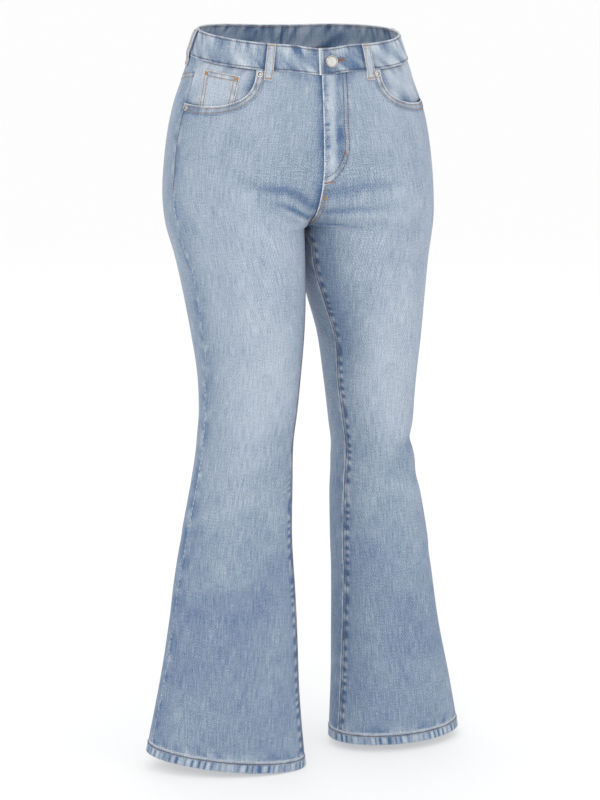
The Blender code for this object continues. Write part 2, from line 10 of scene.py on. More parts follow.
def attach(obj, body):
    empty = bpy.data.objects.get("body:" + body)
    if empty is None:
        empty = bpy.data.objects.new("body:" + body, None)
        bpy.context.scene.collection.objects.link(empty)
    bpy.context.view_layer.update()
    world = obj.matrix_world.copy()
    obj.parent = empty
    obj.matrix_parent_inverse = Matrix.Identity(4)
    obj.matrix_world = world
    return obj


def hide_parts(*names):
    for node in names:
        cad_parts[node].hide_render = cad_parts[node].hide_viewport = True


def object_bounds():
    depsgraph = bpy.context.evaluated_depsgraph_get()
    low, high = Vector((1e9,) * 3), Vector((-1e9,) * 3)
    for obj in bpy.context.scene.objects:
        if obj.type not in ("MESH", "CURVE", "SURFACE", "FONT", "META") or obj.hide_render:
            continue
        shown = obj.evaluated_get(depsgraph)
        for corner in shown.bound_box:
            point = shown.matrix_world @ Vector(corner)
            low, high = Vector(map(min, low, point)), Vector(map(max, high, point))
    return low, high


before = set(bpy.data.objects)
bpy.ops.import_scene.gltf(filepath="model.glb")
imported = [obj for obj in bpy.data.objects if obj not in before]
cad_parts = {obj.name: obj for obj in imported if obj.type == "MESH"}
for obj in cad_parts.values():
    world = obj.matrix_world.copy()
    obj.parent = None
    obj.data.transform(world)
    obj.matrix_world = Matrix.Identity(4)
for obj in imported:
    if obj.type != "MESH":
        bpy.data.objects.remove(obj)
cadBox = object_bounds()
scene = bpy.context.scene
print("frame loaded:", len(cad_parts), "nodes")

# The cut of the jeans, in metres. Level is the drop below the waist rim along the side seam.
cut = {
    "waistband": 0.036,
    "hem": 1.008,
    "hemHeight": 0.016,
    "crotch": 0.258,
    "crotchY": -0.014,
    "bend": {"front": 0.160, "back": 0.120},
    "rimDrop": 0.0021,
    "rimSide": 0.0029,
    "rimBack": 0.0066,
    "rimSaddle": 0.0056,
    "rimDip": 0.0053,
    "waistHalf": (0.138, 0.097),
    "pocketReach": {"right": 0.0905, "left": 0.0830},
    "pocketFoot": 0.093,
    "pocketSquareness": 3.0,
    "yokeSide": 0.01575,
    "yokeCentre": 0.060,
    "spread": (0.110, 0.480),
    "roundness": 0.55,
    "hemSlope": {"right": 0.080, "left": 0.010},
    "hemTilt": {"right": 0.070, "left": 0.010},
    "denim": 0.0012,
    "denimFace": 0.0007,
}
outward = {"right": -1.0, "left": 1.0}
quarters = (("right", "front"), ("right", "back"), ("left", "back"), ("left", "front"))

# Half sections in mm: level, peak x, peak y, outer and inner half width, front and back depth, then turn in degrees.
hipRows = [
    (0, 50, 2, 88.5, 50, 96, 96, 0), (36, 52, 2, 98.5, 52, 102, 107, 0),
    (66, 55, 2, 105, 55, 106, 116, 0), (100, 60, 2, 112.5, 60, 109, 124, 0),
    (133, 66, 2, 114.5, 66, 111, 129, 0), (177, 75, 2, 111.5, 75, 112, 130, 0),
    (219, 84, 1, 105, 84, 111, 126, 0),
]
legRows = {
    "right": [
        (258, 89.5, -4, 97, 88, 107.3, 119, 0), (300, 89.3, -12, 87.8, 87.8, 98, 108, 2),
        (354, 85, -18, 82.5, 82.5, 88, 94, 6), (407, 81.5, -20, 77, 77, 78, 82, 9),
        (461, 79.5, -20, 71, 71, 68, 70, 12), (515, 81, -20, 67.5, 67.5, 60, 63, 15),
        (562, 86, -20, 66.8, 66.8, 56, 60, 16), (611, 90, -20, 69.6, 69.6, 55, 60, 17),
        (692, 99, -23, 76.5, 76.5, 55, 61, 18), (762, 103.5, -26, 84, 84, 56, 61, 18),
        (816, 106, -28, 88.5, 88.5, 57, 61, 18), (910, 112.5, -30, 97.5, 97.5, 58, 61, 18),
        (1011, 119, -32, 111.4, 111.4, 60, 60, 18),
    ],
    "left": [
        (258, 89.5, 4, 100.6, 88, 108.8, 120.3, 0), (315, 94.5, 8, 90, 90, 100, 106, 1),
        (370, 102, 14, 80, 80, 92, 94, 2), (424, 108.5, 18, 70.5, 70.5, 83, 83, 4),
        (493, 111, 20, 63.2, 63.2, 68, 70, 6), (549, 113, 20, 58, 58, 63, 68, 7),
        (583, 115, 20, 57, 57, 62, 68, 8), (631, 118, 20, 62, 62, 62, 67, 8),
        (718, 126, 20, 69.8, 69.8, 64, 68, 8), (767, 130, 20, 71.5, 71.5, 67, 72, 8),
        (847, 136, 20, 78, 78, 68, 74, 8), (928, 144, 20, 88, 88, 67, 73, 8),
        (1011, 150, 20, 98.5, 98.5, 68, 73, 8),
    ],
}
sectionRows = {side: np.array(hipRows + legRows[side]) / ([1000] * 7 + [1]) for side in legRows}
columnOf = {"peakX": 1, "peakY": 2, "outer": 3, "inner": 4, "front": 5, "back": 6, "turn": 7}

# How far each seam is swung forward of the leg's side, in mm: level, side seam, inseam.
swings = {
    "right": np.array([
        (0, 21, 0), (200, 24, 10), (272, 31, 10), (320, 43, 12), (400, 44, 12), (500, 29, 10), (1012, 18, 6),
    ]) / 1000,
    "left": np.array([
        (0, 21, 0), (200, 22, 18), (258, 20, 18), (292, 18, 38), (400, 16, 36), (500, 14, 24), (1012, 12, 13),
    ]) / 1000,
}

# Creases in mm: from (u, level) to (u, level), bow, width, depth. u runs from the side seam, front positive.
creases = {
    "right": np.array([
        (138, 187, 222, 205, -3, 11, 3), (165, 205, 232, 225, -3, 8, 3),
        (120, 222, 200, 238, 4, 12, 1), (120, 132, 215, 150, 4, 14, 1),
        (110, 160, 225, 176, 4, 12, 0.8), (60, 250, 150, 262, 6, 14, 0.8),
        (60, 560, 150, 548, 4, 13, 1.2), (90, 596, 160, 610, -4, 14, 1),
        (60, 790, 152, 770, 0, 20, 3), (20, 870, 110, 905, 6, 16, 1.2),
        (10, 700, 60, 742, 4, 14, 1), (-148, 322, -250, 304, 0, 17, 4.5),
        (-100, 352, -215, 330, 6, 11, 2), (-120, 300, -235, 276, 6, 11, 1.6),
        (-27, 575, -152, 560, 0, 18, 5), (-36, 625, -126, 637, 0, 18, 3),
        (-50, 598, -135, 604, 5, 9, 1.8), (-40, 530, -120, 522, 5, 11, 1.5),
        (-70, 760, -150, 782, 6, 18, 1.8),
    ]) / 1000,
    "left": np.array([
        (134, 268, 250, 243, 0, 16, 2.5), (150, 224, 226, 212, -2, 11, 1.6),
        (110, 198, 226, 190, 0, 12, 1.2), (90, 182, 190, 158, -5, 14, 1.2),
        (100, 312, 215, 290, 4, 14, 1.4), (0, 560, 75, 592, 0, 17, 5),
        (20, 628, 95, 612, 0, 18, 2.5), (50, 575, 125, 568, 4, 11, 1.2),
        (30, 742, 105, 726, 4, 15, 1), (60, 880, 140, 862, 5, 16, 1),
        (-148, 328, -250, 308, 0, 17, 4.5), (-110, 356, -220, 336, 6, 11, 1.8),
        (-125, 296, -232, 282, 5, 11, 1.5), (-36, 560, -145, 580, 0, 18, 5),
        (-55, 640, -155, 623, 0, 18, 3), (-50, 600, -130, 607, 5, 9, 1.6),
        (-60, 530, -140, 541, 5, 11, 1.4), (-60, 780, -150, 764, 6, 18, 1.6),
    ]) / 1000,
}

# Drag lines at the crotch, painted as shade in the cloth's colour: a dark line in each crease with a painted lit
# band beside it. (u, level) points towards it and a width in mm, strength.
crotchCreaseShade = {
    "right": [
        (((112, 183), (145, 190), (176, 190), (196, 193), (224, 207)), 5.0, 0.56),
        (((158, 206), (180, 206.5), (204, 214), (228, 223.5)), 3.6, 0.85),
    ],
    "left": [
        (((100, 198), (156, 190), (198, 190), (228, 191)), 5.8, 0.28),
        (((150, 224), (186, 216), (206, 214), (228, 213)), 4.6, 0.34),
        (((185, 262), (208, 256), (232, 246), (252, 243)), 4.8, 0.34),
    ],
}

# Where topstitching runs, in metres from each seam or edge.
rowsAt = {
    "pocket": (0.0032, 0.0090), "inseam": (0.0010, 0.0060), "seat": (0.0015, 0.0070),
    "coin": (0.0018, 0.0072), "patch": (0.0020, 0.0080), "patchTop": (0.0040, 0.0130),
    "band": 0.0028, "hem": 0.0030,
}


def smooth(value):
    value = np.clip(value, 0.0, 1.0)
    return value * value * (3.0 - 2.0 * value)


def bell(value, width):
    return np.exp(-((value / width) ** 2))


def waves(x, seed):
    # uneven smooth waves from -1 to 1, about one to each whole number
    x = np.asarray(x, float)
    low = np.floor(x)
    share = smooth(x - low)

    def value(n):
        return 2.0 * np.mod(np.abs(np.sin(n * 12.9898 + seed * 78.233)) * 43758.5453, 1.0) - 1.0

    return value(low) * (1.0 - share) + value(low + 1.0) * share


def readRow(side, level):
    rows = sectionRows[side]
    last = len(rows) - 2
    index = int(np.clip(np.searchsorted(rows[:, 0], level) - 1, 0, last))
    before, start, end, after = (rows[min(max(index + step, 0), last + 1)] for step in (-1, 0, 1, 2))
    span = end[0] - start[0]
    share = (level - start[0]) / span
    slopeIn = (end - before) / (end[0] - before[0]) * span
    slopeOut = (after - start) / (after[0] - start[0]) * span
    return (
        (2 * share**3 - 3 * share**2 + 1) * start
        + (share**3 - 2 * share**2 + share) * slopeIn
        + (3 * share**2 - 2 * share**3) * end
        + (share**3 - share**2) * slopeOut
    )


def riseShare(part, level):
    bend = cut["bend"][part]
    return float(np.clip((level - bend) / (cut["crotch"] - bend), 0.0, 1.0))


arcSteps = 36


def bezier(points, share):
    rest = 1.0 - share
    weights = (rest**3, 3 * rest * rest * share, 3 * rest * share * share, share**3)
    return sum(w[:, None] * np.array(p)[None, :] for w, p in zip(weights, points))


def halfSection(side, part, level):
    # points (x outward, y) from the side seam over the peak to the centre seam or inseam
    row = readRow(side, level)
    get = {name: row[index] for name, index in columnOf.items()}
    angle = math.radians(get["turn"])
    toward = -1.0 if part == "front" else 1.0
    depth = get[part] * toward
    k = cut["roundness"]

    def local(x, y):
        return np.array((
            get["peakX"] + x * math.cos(angle) - y * math.sin(angle),
            get["peakY"] + x * math.sin(angle) + y * math.cos(angle),
        ))

    peak = local(0.0, depth)
    share = riseShare(part, level)
    crease = float(smooth(share)) ** 1.5
    if share >= 1.0:
        end = local(-get["inner"], 0.0)
        endHandle = local(-get["inner"], depth * k)
        peakHandle = local(-get["inner"] * k, depth)
    else:
        fall = math.cos(share * math.pi / 2)
        end = np.array((0.0015 * crease, cut["crotchY"] + (peak[1] - cut["crotchY"]) * fall))
        endHandle = end + np.array((peak[0] * k * (1.0 - crease), (peak[1] - end[1]) * k * crease))
        peakHandle = np.array((peak[0] * (1.0 - k), peak[1]))
    steps = np.linspace(0.0, 1.0, arcSteps + 1)
    outside = (local(get["outer"], 0.0), local(get["outer"], depth * k), local(get["outer"] * k, depth), peak)
    points = np.concatenate((bezier(outside, steps[:-1]), bezier((peak, peakHandle, endHandle, end), steps)))
    return points, lengthsAlong(points), get


def lengthsAlong(points):
    return np.concatenate(([0.0], np.cumsum(np.linalg.norm(np.diff(points, axis=0), axis=1))))


def swingAt(side, level):
    rows = swings[side]
    index = int(np.clip(np.searchsorted(rows[:, 0], level, side="right") - 1, 0, len(rows) - 2))
    above, below = rows[index], rows[index + 1]
    found = above + (below - above) * smooth((level - above[0]) / (below[0] - above[0]))
    return found[1], found[2] if level >= cut["crotch"] else 0.0


def stretchOf(points, walked, start, end):
    # the part of a line between two lengths walked along it
    first, last = ([[np.interp(at, walked, points[:, axis]) for axis in (0, 1)]] for at in (start, end))
    return np.concatenate((first, points[(walked > start + 1e-6) & (walked < end - 1e-6)], last))


def outlineAt(side, part, level):
    # the quarter's points, the length walked to each, the length at the peak, and the row it was read from
    front, walked, get = halfSection(side, "front", level)
    sideSwing, innerSwing = swingAt(side, level)
    if part == "front":
        points = stretchOf(front, walked, sideSwing, walked[-1] - innerSwing)
        peak = walked[arcSteps] - sideSwing
    else:
        back, backWalked, get = halfSection(side, "back", level)
        points = np.concatenate((stretchOf(front, walked, 0.0, sideSwing)[:0:-1], back))
        peak = backWalked[arcSteps] + sideSwing
        if innerSwing > 1e-5:
            rest = stretchOf(front, walked, walked[-1] - innerSwing, walked[-1])
            points = np.concatenate((points, rest[-2::-1]))
    return points, lengthsAlong(points), peak, get


skinStep = 0.0025
skinLevels = np.arange(-0.004, 1.0141, skinStep)
skinShares = np.linspace(0.0, 1.0, 181)
skins = {}


def makeSkin(side, part):
    # the cloth's middle surface on a fine grid of (level, share across), before any crease
    rows, girths = [], []
    start, end = cut["spread"]
    _, low, lowPeak, _ = outlineAt(side, part, end)
    for level in skinLevels:
        points, walked, peakLength, get = outlineAt(side, part, level)
        if level < end:
            _, held, heldPeak, _ = outlineAt(side, part, min(max(level, 0.0), start))
            peak = heldPeak / held[-1]
            peak += (lowPeak / low[-1] - peak) * float(smooth((level - start) / (end - start)))
        else:
            peak = peakLength / walked[-1]
        target = np.where(
            skinShares < peak,
            peakLength * skinShares / peak,
            peakLength + (walked[-1] - peakLength) * (skinShares - peak) / (1.0 - peak),
        )
        x = np.interp(target, walked, points[:, 0])
        y = np.interp(target, walked, points[:, 1])
        drop = np.full_like(x, level)
        share = riseShare(part, level)
        if 0.0 < share < 1.0:
            bend = cut["bend"][part]
            inner = bend + (cut["crotch"] - bend) * math.sin(share * math.pi / 2)
            drop += (inner - level) * smooth((skinShares - 0.35) / 0.65)
        out = x / cut["waistHalf"][0]
        tilt = cut["rimBack"] * y / cut["waistHalf"][1] - cut["rimSide"] * out * outward[side]
        tilt = tilt + cut["rimSaddle"] * out**2 - cut["rimDrop"]
        if part == "front":
            tilt = tilt - cut["rimDip"] * bell(x, 0.03)
        tilt = tilt * smooth(1.0 - level / 0.20)
        lower = smooth((level - 0.55) / 0.40)
        tilt = tilt + lower * cut["hemSlope"][side] * (x - get["peakX"])
        tilt = tilt + lower * cut["hemTilt"][side] * (y - get["peakY"])
        rows.append(np.stack((outward[side] * x, y, tilt - drop), axis=1))
        girths.append(walked[-1])
    facing = 1.0 if (part == "front") == (side == "left") else -1.0
    return {"points": np.array(rows), "girths": np.array(girths), "facing": facing}


def normalsOf(points, facing):
    across = np.gradient(points, axis=1)
    down = np.gradient(points, axis=0)
    normal = np.cross(across, down) * facing
    return normal / np.maximum(np.linalg.norm(normal, axis=2, keepdims=True), 1e-12)


def toLine(line, u, v):
    # distance from each (u, v) to a line, the length run along it, and which side it lies on
    nearest, run, hand = np.full(u.shape, 9.0), np.zeros(u.shape), np.zeros(u.shape)
    walked = 0.0
    for one, two in zip(line, line[1:]):
        step = two - one
        length = np.hypot(*step)
        share = np.clip(((u - one[0]) * step[0] + (v - one[1]) * step[1]) / length**2, 0.0, 1.0)
        du, dv = u - one[0] - share * step[0], v - one[1] - share * step[1]
        gap = np.hypot(du, dv)
        closer = gap < nearest
        nearest = np.where(closer, gap, nearest)
        run = np.where(closer, walked + share * length, run)
        hand = np.where(closer, np.sign(step[0] * dv - step[1] * du), hand)
        walked += length
    return nearest, run, hand


def creaseDepth(side, u, level, around):
    # how far the creases draw the cloth in. They carry on over the side seam and the inseam
    total = np.zeros_like(u)
    steps = np.linspace(0.0, 1.0, 7)[:, None]
    for row in creases[side]:
        start, end, (bow, width, depth) = row[:2], row[2:4], row[4:]
        along = end - start
        middle = (start + end) / 2 + np.array((-along[1], along[0])) / np.linalg.norm(along) * bow
        bent = 2 * middle - (start + end) / 2
        line = (1 - steps) ** 2 * start + 2 * steps * (1 - steps) * bent + steps**2 * end
        for shift in (0.0, 1.0, -1.0):
            total += depth * bell(toLine(line, u + shift * around, level)[0], width)
    return total


def sink(side):
    # draws the creases into both quarters of one side
    front, back = skins[side, "front"], skins[side, "back"]
    level = np.repeat(skinLevels[:, None], len(skinShares), axis=1)
    around = np.where(level > cut["crotch"], (front["girths"] + back["girths"])[:, None], 9.0)
    sideSwing = np.array([swingAt(side, row)[0] for row in skinLevels])[:, None]
    for skin, sign in ((front, 1.0), (back, -1.0)):
        u = sideSwing + sign * skinShares[None, :] * skin["girths"][:, None]
        normal = normalsOf(skin["points"], skin["facing"])
        skin["folds"] = creaseDepth(side, u, level, around)
        skin["points"] = skin["points"] - normal * skin["folds"][..., None]
        skin["normals"] = normalsOf(skin["points"], skin["facing"])


for side, part in quarters:
    skins[side, part] = makeSkin(side, part)
for side in outward:
    sink(side)
print("skin ready")


def girth(side, part, level):
    return np.interp(level, skinLevels, skins[side, part]["girths"])


def onSkin(side, part, across, level, offset=0.0):
    # points of the cloth, offset outward from its middle, and their normals
    skin = skins[side, part]
    across, level = np.broadcast_arrays(np.asarray(across, float), np.asarray(level, float))
    column = np.clip(across, 0.0, 1.0) * (len(skinShares) - 1)
    row = np.clip((level - skinLevels[0]) / skinStep, 0.0, len(skinLevels) - 1.001)
    i = np.minimum(column.astype(int), len(skinShares) - 2)
    j = row.astype(int)
    s, t = (column - i)[..., None], (row - j)[..., None]
    found = []
    for grid in (skin["points"], skin["normals"]):
        upper = grid[j, i] * (1 - s) + grid[j, i + 1] * s
        lower = grid[j + 1, i] * (1 - s) + grid[j + 1, i + 1] * s
        found.append(upper * (1 - t) + lower * t)
    point, normal = found
    normal = normal / np.linalg.norm(normal, axis=-1, keepdims=True)
    return point + normal * np.broadcast_to(offset, across.shape)[..., None], normal


def foldAt(side, part, across, level):
    # how deep in a crease each spot lies
    grid = skins[side, part]["folds"]
    row = np.rint((level - skinLevels[0]) / skinStep).astype(int)
    column = np.rint(np.clip(across, 0.0, 1.0) * (len(skinShares) - 1)).astype(int)
    return grid[np.clip(row, 0, len(skinLevels) - 1), column]


def bandRun(quarter):
    # metres along the waistband, from centre front over the wearer's right
    lengths = [float(girth(side, part, 0.018)) for side, part in quarters]
    return np.interp(quarter, np.arange(-1, 6), np.cumsum([-lengths[3], lengths[3]] + lengths + [lengths[0]]))


def onQuarters(choices, share, level, offset):
    # points and normals where each spot lies on one of several quarters: side, part and which spots
    points, normals = np.zeros(share.shape + (3,)), np.zeros(share.shape + (3,))
    for side, part, here in choices:
        points[here], normals[here] = onSkin(side, part, share[here], level[here], offset[here])
    return points, normals


def roundWaist(quarter, level, offset=0.0):
    # points by quarters of the waist, from centre front over the wearer's right, back and left. The ends lap on
    quarter, level, offset = np.broadcast_arrays(np.asarray(quarter, float), level, offset)
    first = np.clip(np.floor(quarter), -1, 4)
    share = np.where(np.mod(first, 2) == 0, 1.0 - (quarter - first), quarter - first)
    choices = [(side, part, np.mod(first, 4) == n) for n, (side, part) in enumerate(quarters)]
    return onQuarters(choices, share, level, offset)


# marks that seams leave in the cloth: relief, wear, and how far the cloth is raised
def newMarks(like):
    return {"relief": np.zeros(like.shape), "wear": np.zeros(like.shape), "raise": np.zeros(like.shape)}


def addMarks(marks, more, share):
    for key in marks:
        marks[key] += more[key] * share


def belowCrotch(level):
    return smooth((level - cut["crotch"]) / 0.004)


def markSeam(
    marks, gap, run, seed, pucker=0.8, reach=0.010, period=0.010, slant=0.4,
    edge=0.0, rows=(), ridge=0.0, ridgeWidth=0.008,
):
    # a sewn seam: puckers that die away from it, a worn edge, a raised allowance and stitch channels
    phase = (run + slant * gap) / period
    pattern = 0.75 * waves(phase, seed) + 0.35 * waves(phase * 2.3, seed + 5)
    fall = bell(gap, reach) * smooth(gap / 0.0016)
    marks["relief"] += pucker * pattern * fall
    marks["wear"] += edge * bell(gap, 0.0012) * (0.85 + 0.3 * waves(run / 0.004, seed + 9))
    marks["raise"] += ridge * smooth((ridgeWidth - gap) / 0.0018)
    if ridge > 0.0:
        crest = bell(gap - ridgeWidth + 0.001, 0.0014)
        marks["wear"] += 0.25 * crest * (0.5 + 0.5 * pattern)
    for row in rows:
        channel = bell(gap - row, 0.0009)
        marks["raise"] -= 0.00022 * channel
        marks["relief"] -= 0.25 * channel


def markDashes(marks, gap, run, seed):
    # pale and dark dashes where a pressed-open seam's allowances lie beneath
    beat = 0.5 + 0.5 * np.sin(2 * math.pi * (run / 0.0080 + 0.55 * waves(run / 0.021, seed)))
    line = 0.8 * bell(gap, 0.0017) * (0.75 + 0.35 * waves(run / 0.017, seed + 4))
    marks["wear"] += line * (0.30 + 0.70 * beat**1.4)
    marks["relief"] -= 0.55 * line * (1.0 - beat)


def clothFadeAndShade(side, part, across, level):
    # where washing has paled the cloth: the thigh and knee fronts, less at the back and near the hems. It also holds
    # painted shade: darker in the creases, under the crotch and down the left leg's inner thigh
    u = across * girth(side, part, level)
    strength = {"front": 1.0, "back": 0.75}[part]
    thigh = bell(level - 0.25, 0.20) * bell(across - 0.50, 0.42)
    knee = bell(level - 0.50, 0.14) * bell(across - 0.50, 0.34)
    cloud = 0.10 * waves(u * 22 + level * 9, 3) * waves(level * 13, 8) + 0.06 * waves(level * 31 + u * 17, 11)
    low = smooth((level - 0.58) / 0.25)
    # darker the deeper a crease: painted shade in the creases, partly the wash pattern that follows the folds
    foldShade = 0.22 * foldAt(side, part, across, level) / 0.0030
    # painted shade under the crotch, strong on the left leg, and down the left front's inner thigh. The other two
    # terms darken the cloth beside the side seam and the inseam
    under = {"left": 0.75, "right": 0.10}[side]
    under *= bell(level - 0.272, 0.032) * bell(1.0 - across, 0.12)
    if side == "left" and part == "front":
        under = under + 0.34 * bell(level - 0.370, 0.13) * bell(0.90 - across, 0.15)
    edges = under + 0.11 * bell(across, 0.10) + 0.16 * bell(1.0 - across, 0.09)
    fade = strength * (0.42 * thigh + 0.42 * knee) + 0.27 - 0.16 * low + 0.45 * cloud - foldShade - edges
    return np.clip(fade, 0.0, 1.0)


# materials
def linear(r, g, b):
    return tuple((c / 255 / 12.92) if c < 11 else ((c / 255 + 0.055) / 1.055) ** 2.4 for c in (r, g, b)) + (1.0,)


def fill(tree, socket, value):
    # a number or a colour is set on the socket, another node's output is linked to it
    if isinstance(value, (int, float, tuple)):
        socket.default_value = value
    else:
        tree.links.new(value, socket)


def newNode(tree, kind, values):
    node = tree.nodes.new("ShaderNode" + kind)
    for name, value in values.items():
        fill(tree, node.inputs[name], value)
    return node


def newMaterial(name, values):
    material = bpy.data.materials.new(name)
    material.use_nodes = True
    tree = material.node_tree
    shader = tree.nodes["Principled BSDF"]
    for socket, value in values.items():
        shader.inputs[socket].default_value = value
    return material, tree, shader


def combine(tree, operation, one, two):
    node = newNode(tree, "Math", {0: one, 1: two})
    node.operation = operation
    return node.outputs[0]


def scaledNoise(tree, vector, scale, detail, roughness=0.55):
    place = newNode(tree, "Mapping", {"Vector": vector, "Scale": scale}).outputs["Vector"]
    values = {"Vector": place, "Scale": 1.0, "Detail": detail, "Roughness": roughness}
    return newNode(tree, "TexNoise", values).outputs["Fac"]


def mixColour(tree, factor, one, two):
    node = tree.nodes.new("ShaderNodeMix")
    node.data_type = "RGBA"
    node.clamp_factor = True
    for socket, value in ((0, factor), (6, one), (7, two)):
        fill(tree, node.inputs[socket], value)
    return node.outputs[2]


def spread(tree, value, low, high):
    return newNode(tree, "MapRange", {"Value": value, "From Min": low, "From Max": high}).outputs["Result"]


def addBump(tree, shader, height, strength, distance):
    bump = newNode(tree, "Bump", {"Strength": strength, "Distance": distance, "Height": height})
    tree.links.new(bump.outputs["Normal"], shader.inputs["Normal"])


def makeWashedDenim():
    # one group for all denim: warp slubs, twill lines, washing and wear, and painted shade carried by the Relief and
    # Fade inputs, as a colour and a height
    group = bpy.data.node_groups.new("washedDenim", "ShaderNodeTree")
    for way, kind, names in (
        ("INPUT", "Vector", ("Cloth",)),
        ("INPUT", "Color", ("Deep", "Mid", "Light", "Worn")),
        ("INPUT", "Float", ("Relief", "Wear", "Fade", "Grain")),
        ("OUTPUT", "Color", ("Colour",)),
        ("OUTPUT", "Float", ("Height",)),
    ):
        for name in names:
            group.interface.new_socket(name, in_out=way, socket_type="NodeSocket" + kind)
    given = group.nodes.new("NodeGroupInput").outputs
    result = group.nodes.new("NodeGroupOutput").inputs
    cloth = given["Cloth"]

    def plus(one, two):
        return combine(group, "ADD", one, two)

    def times(one, two):
        return combine(group, "MULTIPLY", one, two)

    def centred(value, weight):
        return times(combine(group, "SUBTRACT", value, 0.5), weight)

    slub = spread(group, scaledNoise(group, cloth, (640.0, 42.0, 1.0), 3.0, 0.6), 0.30, 0.70)
    speck = spread(group, scaledNoise(group, cloth, (1300.0, 760.0, 1.0), 2.0), 0.28, 0.72)
    weft = spread(group, scaledNoise(group, cloth, (60.0, 700.0, 1.0), 2.0), 0.30, 0.70)
    cloud = spread(group, scaledNoise(group, cloth, (16.0, 9.0, 1.0), 4.0, 0.6), 0.30, 0.70)
    turned = newNode(group, "Mapping", {"Vector": cloth, "Rotation": (0.0, 0.0, math.radians(28))})
    values = {"Scale": 1250.0 / 6.2832 * 0.5, "Distortion": 1.5, "Detail": 1.0}
    twill = newNode(group, "TexWave", {"Vector": turned.outputs["Vector"], **values}).outputs["Fac"]

    grain = centred(slub, 0.36)
    for value, weight in ((speck, 0.85), (weft, 0.16), (twill, 0.10)):
        grain = plus(grain, centred(value, weight))
    tone = times(grain, given["Grain"])
    # Fade is the wash fade together with painted shade in creases and under the crotch. Relief darkens low cloth and
    # lightens raised cloth: wear that follows the relief, together with painted shade and light on it
    for share in (centred(cloud, 0.17), times(given["Fade"], 0.55), times(given["Relief"], 0.60), 0.24):
        tone = plus(tone, share)
    lower = mixColour(group, spread(group, tone, 0.0, 0.5), given["Deep"], given["Mid"])
    whole = mixColour(group, spread(group, tone, 0.5, 1.0), lower, given["Light"])
    worn = times(spread(group, plus(given["Wear"], times(grain, 0.5)), 0.18, 0.75), 0.9)
    group.links.new(mixColour(group, worn, whole, given["Worn"]), result["Colour"])
    height = plus(plus(times(slub, 0.5), times(twill, 0.5)), times(speck, 0.4))
    group.links.new(height, result["Height"])
    return group


washedDenim = makeWashedDenim()
denimValues = {
    "Roughness": 0.92, "Specular IOR Level": 0.25, "Sheen Weight": 0.12, "Sheen Roughness": 0.5,
    "Sheen Tint": linear(226, 230, 236),
}


def makeDenim(name, colours, gain):
    material, tree, shader = newMaterial(name, denimValues)
    group = tree.nodes.new("ShaderNodeGroup")
    group.node_tree = washedDenim
    uv = tree.nodes.new("ShaderNodeUVMap")
    uv.uv_map = "cloth"
    tree.links.new(uv.outputs["UV"], group.inputs["Cloth"])
    for layer in ("relief", "wear", "fade"):
        attribute = tree.nodes.new("ShaderNodeAttribute")
        attribute.attribute_name = layer
        value = attribute.outputs["Fac"]
        if layer == "relief":
            value = combine(tree, "MULTIPLY", value, gain)
        tree.links.new(value, group.inputs[layer.capitalize()])
    for socket, colour in zip(("Deep", "Mid", "Light", "Worn"), colours):
        group.inputs[socket].default_value = linear(*colour)
    group.inputs["Grain"].default_value = 1.0
    addBump(tree, shader, group.outputs["Height"], 0.5, 0.0004)
    fill(tree, shader.inputs["Base Color"], group.outputs["Colour"])
    return material


outsideColours = (76, 104, 140), (151, 164, 180), (200, 209, 218), (222, 225, 228)
# the inside is darker and bluer than the outside: the cloth's inner face with painted shade of the hollow inside,
# and relief tone at 1.6 times the outside's
insideColoursShaded = (72, 100, 138), (130, 152, 180), (184, 197, 212), (222, 226, 230)
denimOutside = makeDenim("denimOutside", outsideColours, 1.0)
denimInsideShaded = makeDenim("denimInsideShaded", insideColoursShaded, 1.6)


def makeThread(name, dark, light):
    material, tree, shader = newMaterial(name, {"Roughness": 0.7, "Sheen Weight": 0.2})
    place = tree.nodes.new("ShaderNodeTexCoord").outputs["Object"]
    ply = scaledNoise(tree, place, (1900.0, 1900.0, 1900.0), 2.0)
    age = spread(tree, scaledNoise(tree, place, (70.0, 70.0, 70.0), 2.0), 0.3, 0.7)
    blend = combine(tree, "ADD", combine(tree, "MULTIPLY", ply, 0.5), combine(tree, "MULTIPLY", age, 0.6))
    fill(tree, shader.inputs["Base Color"], mixColour(tree, blend, linear(*dark), linear(*light)))
    addBump(tree, shader, ply, 0.5, 0.0001)
    return material


def makeSteel(name, dark, light):
    material, tree, shader = newMaterial(name, {"Metallic": 1.0})
    place = tree.nodes.new("ShaderNodeTexCoord").outputs["Object"]
    brush = scaledNoise(tree, place, (300.0, 300.0, 5200.0), 3.0)
    spots = scaledNoise(tree, place, (900.0, 900.0, 900.0), 3.0)
    fill(tree, shader.inputs["Roughness"], spread(tree, brush, 0.0, 1.9))
    fill(tree, shader.inputs["Base Color"], mixColour(tree, spots, linear(*dark), linear(*light)))
    addBump(tree, shader, brush, 0.25, 0.0001)
    return material


brownThread = makeThread("brownThread", (62, 47, 40), (122, 96, 76))
tanThread = makeThread("tanThread", (124, 90, 58), (184, 146, 100))
amberThread = makeThread("amberThread", (150, 92, 40), (200, 146, 84))
steel = makeSteel("brushedSteel", (196, 194, 190), (238, 236, 232))
# dark steel for the button's groove and the rivets' hollows and rims: painted shade and a painted dark reflection,
# with tarnish
steelShadeAndTarnish = makeSteel("shadedAndTarnishedSteel", (58, 56, 56), (104, 100, 98))
print("materials ready")

# cloth pieces, by their plain names, and the faces that sewing is laid on
pieces = {}
carriers = {}


def toMesh(bm, name, materials):
    mesh = bpy.data.meshes.new(name)
    bm.to_mesh(mesh)
    bm.free()
    for material in materials:
        mesh.materials.append(material)
    return mesh


def addPiece(mesh, node=None):
    # a finished mesh at the origin rides on the one body. node is the solid that it stands for
    mesh.shade_smooth()
    made = bpy.data.objects.new(mesh.name, mesh)
    scene.collection.objects.link(made)
    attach(made, "root")
    if node:
        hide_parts(node)
    return made


